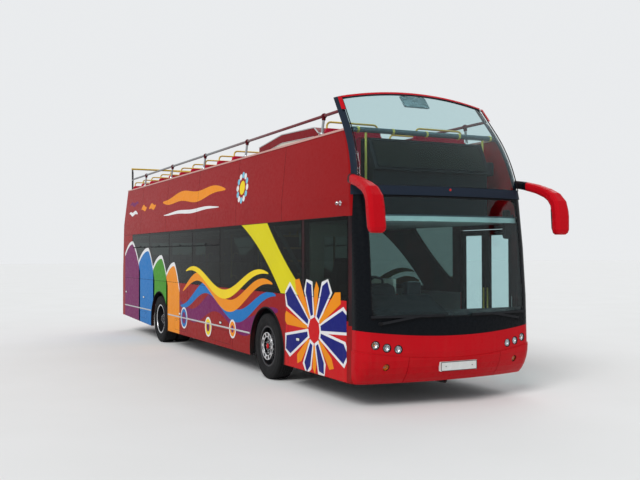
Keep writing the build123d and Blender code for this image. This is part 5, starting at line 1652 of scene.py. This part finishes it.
def make_stair_trim():
    mesh = bmesh.new()
    for k in range(5):
        x = first_tread - k * stair_going
        add_nosing(mesh, x, tread_across, landing + (k + 1) * stair_rise)
    along = [x_front_axle + a for a in lower_tread_along]
    y, going, rise = lower_flight
    for k in range(1, 4):
        add_nosing(mesh, y + k * going, along, landing - k * rise, turned=True)
    for x, z in floor_steps:
        add_nosing(mesh, x, (tread_across[0], -tread_across[0]), z)
    new_piece("step_nosings", mesh, "rail", smooth=30)

    rail = bmesh.new()
    add_tube(rail, [(x_front_axle + a, stair_rail_y, z) for a, z in stair_rail_line], 0.015, 12)
    for a, z in stair_brackets:
        x = x_front_axle + a
        add_tube(rail, [(x, y, z) for y in (-1.081, stair_rail_y)], 0.009, 8)
        add_turned(rail, bracket_profile, about((x, -1.08, z), (0, 1, 0)), 16)
    new_piece("stair_rail", rail, "rail", smooth=40)

    stringer = bmesh.new()
    ends = [(x_front_axle + a, z) for a, z in stringer_ends]
    add_skin(stringer, [[(x, y, z + up) for y, up in stringer_section] for x, z in ends])
    new_piece("stair_window_trim", stringer, "grey")


# The stairs' hood: its roof line, forward of the front axle and up
hood_line = ((-0.55, 3.44), (0.3, 3.53), (1.35, 3.49), (1.48, 3.4))
hood_low_y, hood_high_y = -1.11, -0.5
hood_band = 0.12


def make_hood_trim():
    mesh = bmesh.new()
    line = [(x_front_axle + a, z) for a, z in hood_line]
    low, high = hood_low_y - 0.002, hood_high_y + 0.002
    roof = [[(x, low, z), (x, high, z), (x, high, z + 0.004), (x, low, z + 0.004)] for x, z in line[1:]]
    add_skin(mesh, roof)
    lower = [(x, z - hood_band) for x, z in line]
    front_x, front_z = lower[3]
    for y, sign in ((hood_low_y, -1), (hood_high_y, 1)):
        place = from_origin((0, y, 0), (1, 0, 0), (0, 0, 1), (0, sign, 0))
        add_plate(mesh, line + [(front_x - 0.01, front_z)] + lower[2::-1], place, 0.0025)
        add_tube(mesh, [(x, y, z + 0.002) for x, z in line], 0.009, 8, index=1)
        add_tube(mesh, [(x, y + sign * 0.002, z) for x, z in lower], 0.005, 6, index=1)
    for x, z in (line[1], line[3]):
        add_tube(mesh, [(x, y, z + 0.003) for y in (hood_low_y, hood_high_y)], 0.008, 8, index=1)
    new_piece("stair_hood_trim", mesh, ["hood_red", "lining"], smooth=40, plates=True)


# Front of the upper deck: the unlit display follows the lean of the front
display_low, display_high = 2.85, 3.25
display_lean = nose_line(display_high) - nose_line(display_low)


def display_place(u, v, depth):
    share = (v - display_low) / (display_high - display_low)
    return Vector((nose_line(display_low) - 0.25 + display_lean * share + depth, u, v))


# The display's face and its edge: y from and to, z from and to
display_panel = (-0.8, 0.8, 2.895, 3.205)
display_edge = (-0.815, 0.815, 2.88, 3.22)
# Slots below the display: how many, their step, half length and height
slots, slot_step, slot_half, slot_z = 9, 0.18, 0.06, 2.865
# The display's screws, the box behind the glass and a cabinet on a post, in steps of size and depth
display_screw = ((0, -0.001), (0.007, -0.001), (0.006, 0.003), (0, 0.0035))
top_box_steps = ((0.92, -0.06), (1.0, -0.05), (1.0, -0.018), (0.95, -0.0135))
top_box_middle = (-0.055, 3.772)
top_box_arms = (-0.17, 0.06)
cabinet_half = 0.09
cabinet_place = (5.06, 0.985, 2.94)
cabinet_steps = ((0.9, -0.075), (1.0, -0.065), (1.0, 0.07), (0.93, 0.08))


def make_display_face():
    mesh = bmesh.new()
    add_plate(mesh, rounded_outline(*display_panel, 0.02, 4), display_place, 0.004)
    edge = rounded_outline(*display_edge, 0.03, 4)
    add_tube(mesh, [display_place(u, v, 0.002) for u, v in edge], 0.009, 8, True, 1)
    for k in range(slots):
        y = slot_step * (k - (slots - 1) / 2)
        line = [display_place(y + a, slot_z, 0.0) for a in (-slot_half, slot_half)]
        add_tube(mesh, line, 0.004, 6, index=1)
    for u in (-0.84, 0.84):
        for v in display_edge[2:]:
            add_turned(mesh, display_screw, about(display_place(u, v, 0), (1, 0, 0.2)), 12, 1)
    new_piece("display_face", mesh, ["panel_screen", "rubber"], smooth=50, plates=True)


def top_box_place(u, v, depth):
    return on_nose(top_box_middle[0] + u, top_box_middle[1] + v, depth)


def make_upper_boxes():
    box = bmesh.new()
    add_stack(box, centred(0.185, 0.082, 0.02, 4), top_box_steps, top_box_place)
    for y in top_box_arms:
        add_tube(box, [on_nose(y, 3.84, -0.04), on_nose(y, 3.885, -0.035)], 0.01, 8)
    new_piece("screen_top_box", box, "grey", smooth=35)

    cabinet = bmesh.new()
    x, y, z = cabinet_place
    place = from_origin(cabinet_place, (0, 1, 0), (0, 0, 1), (1, 0, 0))
    add_stack(cabinet, centred(cabinet_half, cabinet_half, 0.02, 4), cabinet_steps, place)
    add_tube(cabinet, [(x, y, height) for height in (deck_top, 2.6, z - 0.08)], 0.016, 12)
    add_turned(cabinet, flange_profile, about((x, y, deck_top), (0, 0, 1)), 20)
    for k in range(6):
        add_tube(cabinet, [place(a, 0.022 * k - 0.055, 0.0805) for a in (-0.06, 0.06)], 0.003, 6)
    new_piece("deck_cabinet", cabinet, "plastic", smooth=35)


# Cab: an instrument hood, drawn in x and z and set in steps of y and size
hood_outline = ((5.12, 1.318), (5.105, 1.43), (5.14, 1.455), (5.26, 1.43), (5.32, 1.3))
hood_middle = (5.2, 1.31)
hood_steps = ((-1.03, 0.8), (-1.0, 1.0), (-0.58, 1.0), (-0.55, 0.8))
# Dials by y and radius, keys in a row, and stalks by y and turn, each along one line
dial_x, dial_z = 5.113, 1.375
key_row, key_step = (5.085, -0.5, 1.304), 0.045
stalk_line = ((4.98, 0.3, 1.385), (4.965, 0.0, 1.4), (4.955, -0.16, 1.405))
dials = ((-0.9, 0.036), (-0.79, 0.03), (-0.68, 0.036))
stalks = ((-0.99, -0.25), (-0.59, 0.25))
# A ticket machine in steps of size and height, and the mirror in the kerb corner in steps of size and x
machine_place = (5.2, -0.27, 1.315)
machine_steps = ((1.0, 0.0), (1.0, 0.13), (0.9, 0.15))
inner_mirror = (1.085, 2.2)
inner_mirror_arm = ((5.385, 1.12, 2.3), (5.38, 1.165, 2.31), (5.37, 1.191, 2.31))
inner_mirror_steps = ((0.86, 5.405), (1.0, 5.39), (1.0, 5.365), (0.96, 5.36))
inner_mirror_foot = ((0, 0), (0.022, 0), (0.02, 0.005), (0, 0.008))


def add_dial(mesh, y, radius):
    place = about((dial_x, y, dial_z), (-1, 0, 0.13))
    ring = ((radius, -0.004), (radius, 0.005), (radius + 0.005, 0.005), (radius + 0.007, -0.004))
    face = ((0, -0.003), (radius, -0.003), (radius, 0.001), (0, 0.0012))
    add_turned(mesh, ring, place, 28, 1)
    add_turned(mesh, face, place, 28, 2)
    add_tube(mesh, [place(0.9, 0, 0.002), place(0.9, radius * 0.8, 0.003)], 0.0012, 6, index=3)


def make_instruments():
    mesh = bmesh.new()
    x_middle, z_middle = hood_middle
    hood = [(x - x_middle, z - z_middle) for x, z in hood_outline]
    rings = [[(x_middle + a * size, y, z_middle + b * size) for a, b in hood] for y, size in hood_steps]
    add_skin(mesh, rings)
    for y, radius in dials:
        add_dial(mesh, y, radius)
    key = centred(0.011, 0.017, 0.004, 2)
    for k in range(7):
        x, y, z = key_row
        place = from_origin((x, y + key_step * k, z), (0, 1, 0), (0.35, 0, 0), (0, 0, 1))
        add_stack(mesh, key, ((1.0, 0.0), (1.0, 0.011)), place, 3 if k == 2 else 2)
    place = from_origin(machine_place, (1, 0, 0), (0, 1, 0), (0, 0, 1))
    add_stack(mesh, centred(0.07, 0.1, 0.02, 4), machine_steps, place)
    add_tube(mesh, [place(-0.07, a, 0.095) for a in (-0.05, 0.05)], 0.004, 6, index=1)
    for y, turn in stalks:
        add_tube(mesh, [(x, y + turn * share, z) for x, share, z in stalk_line], 0.006, 8)
    new_piece("cab_instruments", mesh, ["plastic", "trim", "panel_screen", "red_lens"], smooth=35)


def make_inner_mirror():
    mesh = bmesh.new()
    y, z = inner_mirror
    case = centred(0.055, 0.19, 0.035)
    rings = []
    for size, x in inner_mirror_steps:
        rings.append([(x, y + size * u, z + (size - 0.3 * (1 - size)) * v) for u, v in case])
    add_skin(mesh, rings)
    face = centred(0.048, 0.182, 0.03)
    add_skin(mesh, [[(x, y + u, z + v) for u, v in face] for x in (5.3605, 5.358)], index=1)
    add_tube(mesh, inner_mirror_arm, 0.009, 10)
    add_turned(mesh, inner_mirror_foot, about((5.37, 1.1905, 2.31), (0, -1, 0)), 16)
    new_piece("cab_mirror", mesh, ["plastic", "mirror_glass"], smooth=35)


# Saloon ceiling: strip lamps in shallow trays; finish, half width, and its steps of size and drop
ceiling = 2.21
ceiling_lamp_y = 0.42
ceiling_lamp_xs = (-4.6, -3.1, -1.6, -0.1, 1.4)
ceiling_lamp_half = 0.6
ceiling_parts = (
    (0, 0.075, ((1.0, 0.0), (1.0, 0.008), (0.94, 0.012))),
    (1, 0.06, ((1.0, 0.0118), (0.95, 0.02), (0.7, 0.027), (0.3, 0.0295))),
)


def make_ceiling_lamps():
    mesh = bmesh.new()
    for y in (-ceiling_lamp_y, ceiling_lamp_y):
        for x in ceiling_lamp_xs:
            for index, width, steps in ceiling_parts:
                rings = []
                for size, drop in steps:
                    half, length = width * size, ceiling_lamp_half + width * size
                    edge = centred(length, half, half * 0.6, 4)
                    rings.append([(x + a, y + b, ceiling - drop) for a, b in edge])
                add_skin(mesh, rings, index=index)
    new_piece("saloon_ceiling_lamps", mesh, ["lining", "plate"], smooth=35)


# Kerb doors: name, body, ends, the edge where the leaf meets the other one and the way it faces
door_leaves = (
    ("rear", "door_rear_leaf", 4.2153, 4.768, 4.768, 1),
    ("front", "door_front_leaf", 4.782, 5.3347, 4.782, -1),
)
leaf_low, leaf_high = 0.378, 2.142
leaf_thick = 0.04
edge_section = ((0.0, -0.034), (0.004, -0.03), (0.0055, -0.02), (0.004, -0.01), (0.0, -0.006))


# How far the pane's bead lies in from a leaf's edge, and more at its foot; a pull's height, from and to
pane_inset, pane_foot = 0.07, 0.16
pull_low, pull_high, pull_half, pull_inset = 0.95, 1.35, 0.012, 0.035


def make_door_trim():
    place = side_place(1)
    for name, body, x_low, x_high, x_meet, sign in door_leaves:
        mesh = bmesh.new()
        pane = rounded_outline(x_low + pane_inset, x_high - pane_inset, leaf_low + pane_foot,
                               leaf_high - pane_inset, 0.012, 3)
        for y in (half_width, half_width - leaf_thick):
            add_tube(mesh, [(x, y, z) for x, z in pane], 0.005, 6, True)
        heights = (leaf_low + 0.01, leaf_high - 0.01)
        add_skin(mesh, [[(x_meet + sign * a, half_width + b, z) for a, b in edge_section] for z in heights])
        x_pull = x_meet - sign * pull_inset
        pull = rounded_outline(x_pull - pull_half, x_pull + pull_half, pull_low, pull_high, 0.01, 4)
        for low, high in ((-leaf_thick - 0.0002, -leaf_thick - 0.0075), (-0.0002, 0.003)):
            add_plate(mesh, pull, place, high, 1, low)
        new_piece(f"door_trim_{name}", mesh, ["rubber", "rail"], body, smooth=45, plates=True)


# Tail: louvres behind the lid's slots, latches, a reflector on each side and a bead round the window
tail_foot = 1.25
tail_arc = 3.0
tail_lean = radians(5.4)
louvre_section = ((0.012, -0.0285), (0.016, -0.0285), (0.037, -0.002), (0.037, 0.002), (0.033, 0.002),
                  (0.012, -0.024))
latch_profile = ((0, 0.003), (0.016, 0.003), (0.015, 0.009), (0, 0.01))


def tail_line(z):
    """X of the tail on the centre plane at a height: upright, then an arc, then a straight lean."""
    up = z - tail_foot
    if up <= 0:
        return x_tail
    if up <= tail_arc * sin(tail_lean):
        return x_tail + tail_arc - sqrt(tail_arc**2 - up**2)
    rise = up - tail_arc * sin(tail_lean)
    return x_tail + tail_arc * (1 - cos(tail_lean)) + rise * sin(tail_lean) / cos(tail_lean)


def tail_place(u, v, depth):
    return Vector((x_tail - depth, u, v))


# The engine lid's louvres, their border (y from and to, z from and to) and its two latches
louvres, louvre_step, louvre_top, louvre_half = 7, 0.055, 1.15, 0.518
louvre_border = (-0.545, 0.545, 0.77, 1.17)
latch_y, latch_z = 0.66, 0.66
# Red reflectors beside the lid, and the edge of the tail's glass
reflector_y = 1.01
tail_glass = (-0.85, 0.85, 1.45, 2.1)


def make_lid_fittings():
    mesh = bmesh.new()
    for k in range(louvres):
        z = louvre_top - louvre_step * k
        ends = (-louvre_half, louvre_half)
        add_skin(mesh, [[(x_tail + a, y, z + b) for a, b in louvre_section] for y in ends])
    for y in (-0.26, 0.0, 0.26):
        add_tube(mesh, [(x_tail + 0.036, y, z) for z in (0.78, 1.16)], 0.0045, 6)
    for y in (-latch_y, latch_y):
        outline = rounded_outline(y - 0.045, y + 0.045, latch_z - 0.03, latch_z + 0.03, 0.02)
        add_plate(mesh, outline, tail_place, 0.004, 1)
        add_turned(mesh, latch_profile, about((x_tail, y, latch_z), (-1, 0, 0)), 20)
    border = rounded_outline(*louvre_border, 0.02, 4)
    add_tube(mesh, [(x_tail, y, z) for y, z in border], 0.005, 6, True)
    new_piece("engine_lid_fittings", mesh, ["rubber", "trim"], "engine_door", smooth=40, plates=True)


def make_tail_fittings():
    mesh = bmesh.new()
    for y in (-reflector_y, reflector_y):
        add_plate(mesh, rounded_outline(y - 0.035, y + 0.035, 0.59, 0.64, 0.01, 4), tail_place, 0.006, 1)
    glass_edge = walk(rounded_outline(*tail_glass, 0.06, 6), 2.0, 0.06)
    add_tube(mesh, [(tail_line(z), y, z) for y, z in glass_edge], 0.008, 8, True)
    new_piece("tail_fittings", mesh, ["rubber", "red_lens"], smooth=40, plates=True)


# A small camera high on each side, ahead of the seams
camera_x, camera_z = 5.16, 2.43
camera_foot = ((0, -0.001), (0.03, -0.001), (0.03, 0.006), (0.014, 0.012), (0.013, 0.03), (0, 0.031))
camera_ball = ((0, -0.024), (0.017, -0.017), (0.024, 0.0), (0.02, 0.014), (0.014, 0.02), (0.014, 0.023),
               (0, 0.0235))
camera_eye = ((0, 0.0228), (0.0095, 0.0232), (0.008, 0.0262), (0, 0.0275))


def make_side_cameras():
    mesh = bmesh.new()
    for side in (-1, 1):
        foot = about((camera_x, side * half_width, camera_z), (0, side, 0))
        add_turned(mesh, camera_foot, foot, 24)
        ball = about((camera_x, side * (half_width + 0.042), camera_z), (0.35, side, -0.45))
        add_turned(mesh, camera_ball, ball, 24)
        add_turned(mesh, camera_eye, ball, 20, 1)
    new_piece("side_cameras", mesh, ["trim", "rubber"], smooth=40)


# Floor, background and lamps
floor_reach = 150.0


def make_stage():
    mesh = bpy.data.meshes.new("floor")
    corners = [(x * floor_reach, y * floor_reach, 0) for x, y in ((-1, -1), (1, -1), (1, 1), (-1, 1))]
    mesh.from_pydata(corners, [], [(0, 1, 2, 3)])
    floor = bpy.data.objects.new("floor", mesh)
    bpy.context.scene.collection.objects.link(floor)
    finish = Finish("pale_floor")
    tone = finish.mix(finish.noise(0.6, 2.0), linear(226, 226, 224), linear(232, 232, 231))
    finish.set(Base_Color=tone, Roughness=0.9, Specular_IOR_Level=0.2)
    mesh.materials.append(finish.material)


# Lamps: name, place that it shines from, spread in degrees and strength
lamps = (
    ("key", (9.0, -12.0, 13.0), 28.0, 1.9),
    ("back", (-10.0, 9.0, 11.0), 40.0, 0.5),
)


def make_lights():
    world = bpy.data.worlds.new("studio")
    bpy.context.scene.world = world
    world.use_nodes = True
    tree = world.node_tree
    tree.nodes.clear()
    output = tree.nodes.new("ShaderNodeOutputWorld")
    path = tree.nodes.new("ShaderNodeLightPath")
    seen = tree.nodes.new("ShaderNodeBackground")
    seen.inputs["Color"].default_value = (0.82, 0.835, 0.85, 1.0)
    fill = tree.nodes.new("ShaderNodeBackground")
    fill.inputs["Color"].default_value = (0.93, 0.96, 1.0, 1.0)
    fill.inputs["Strength"].default_value = 0.55
    either = tree.nodes.new("ShaderNodeMixShader")
    total = path.outputs["Is Camera Ray"]
    for ray in ("Is Glossy Ray", "Is Transmission Ray"):
        step = tree.nodes.new("ShaderNodeMath")
        step.operation = "ADD"
        step.use_clamp = True
        tree.links.new(total, step.inputs[0])
        tree.links.new(path.outputs[ray], step.inputs[1])
        total = step.outputs[0]
    tree.links.new(total, either.inputs[0])
    tree.links.new(fill.outputs[0], either.inputs[1])
    tree.links.new(seen.outputs[0], either.inputs[2])
    tree.links.new(either.outputs[0], output.inputs["Surface"])
    for name, place, spread, strength in lamps:
        data = bpy.data.lights.new(name, "SUN")
        data.angle = radians(spread)
        data.energy = strength
        lamp = bpy.data.objects.new(name, data)
        bpy.context.scene.collection.objects.link(lamp)
        lamp.location = place
        lamp.rotation_mode = "QUATERNION"
        lamp.rotation_quaternion = (-lamp.location).to_track_quat("-Z", "Y")
    bpy.context.scene.view_settings.view_transform = "Standard"


# All pieces in turn, then the stage and its lights
def make_sides(*makers):
    for side in (-1, 1):
        for make in makers:
            make(side, side_place(side))


make_tyres()
make_sides(make_sails, make_waves, make_burst, make_upper_livery)
for make in (make_wheel_trim, make_front_lamps, make_tail_lamps):
    make()
make_sides(make_arch_lips, make_side_seams, make_hopper_bars, make_side_lamps)
for make in (
    make_screen_beads, make_top_strip, make_plate_borders, make_wiper_rubbers, make_mirror_glass,
    make_rail_fittings, make_upper_seats, make_saloon_seats, make_driver_seat, make_stair_trim,
    make_hood_trim, make_display_face, make_upper_boxes, make_instruments, make_inner_mirror,
    make_ceiling_lamps, make_door_trim, make_lid_fittings, make_tail_fittings, make_side_cameras,
    make_stage, make_lights,
):
    make()
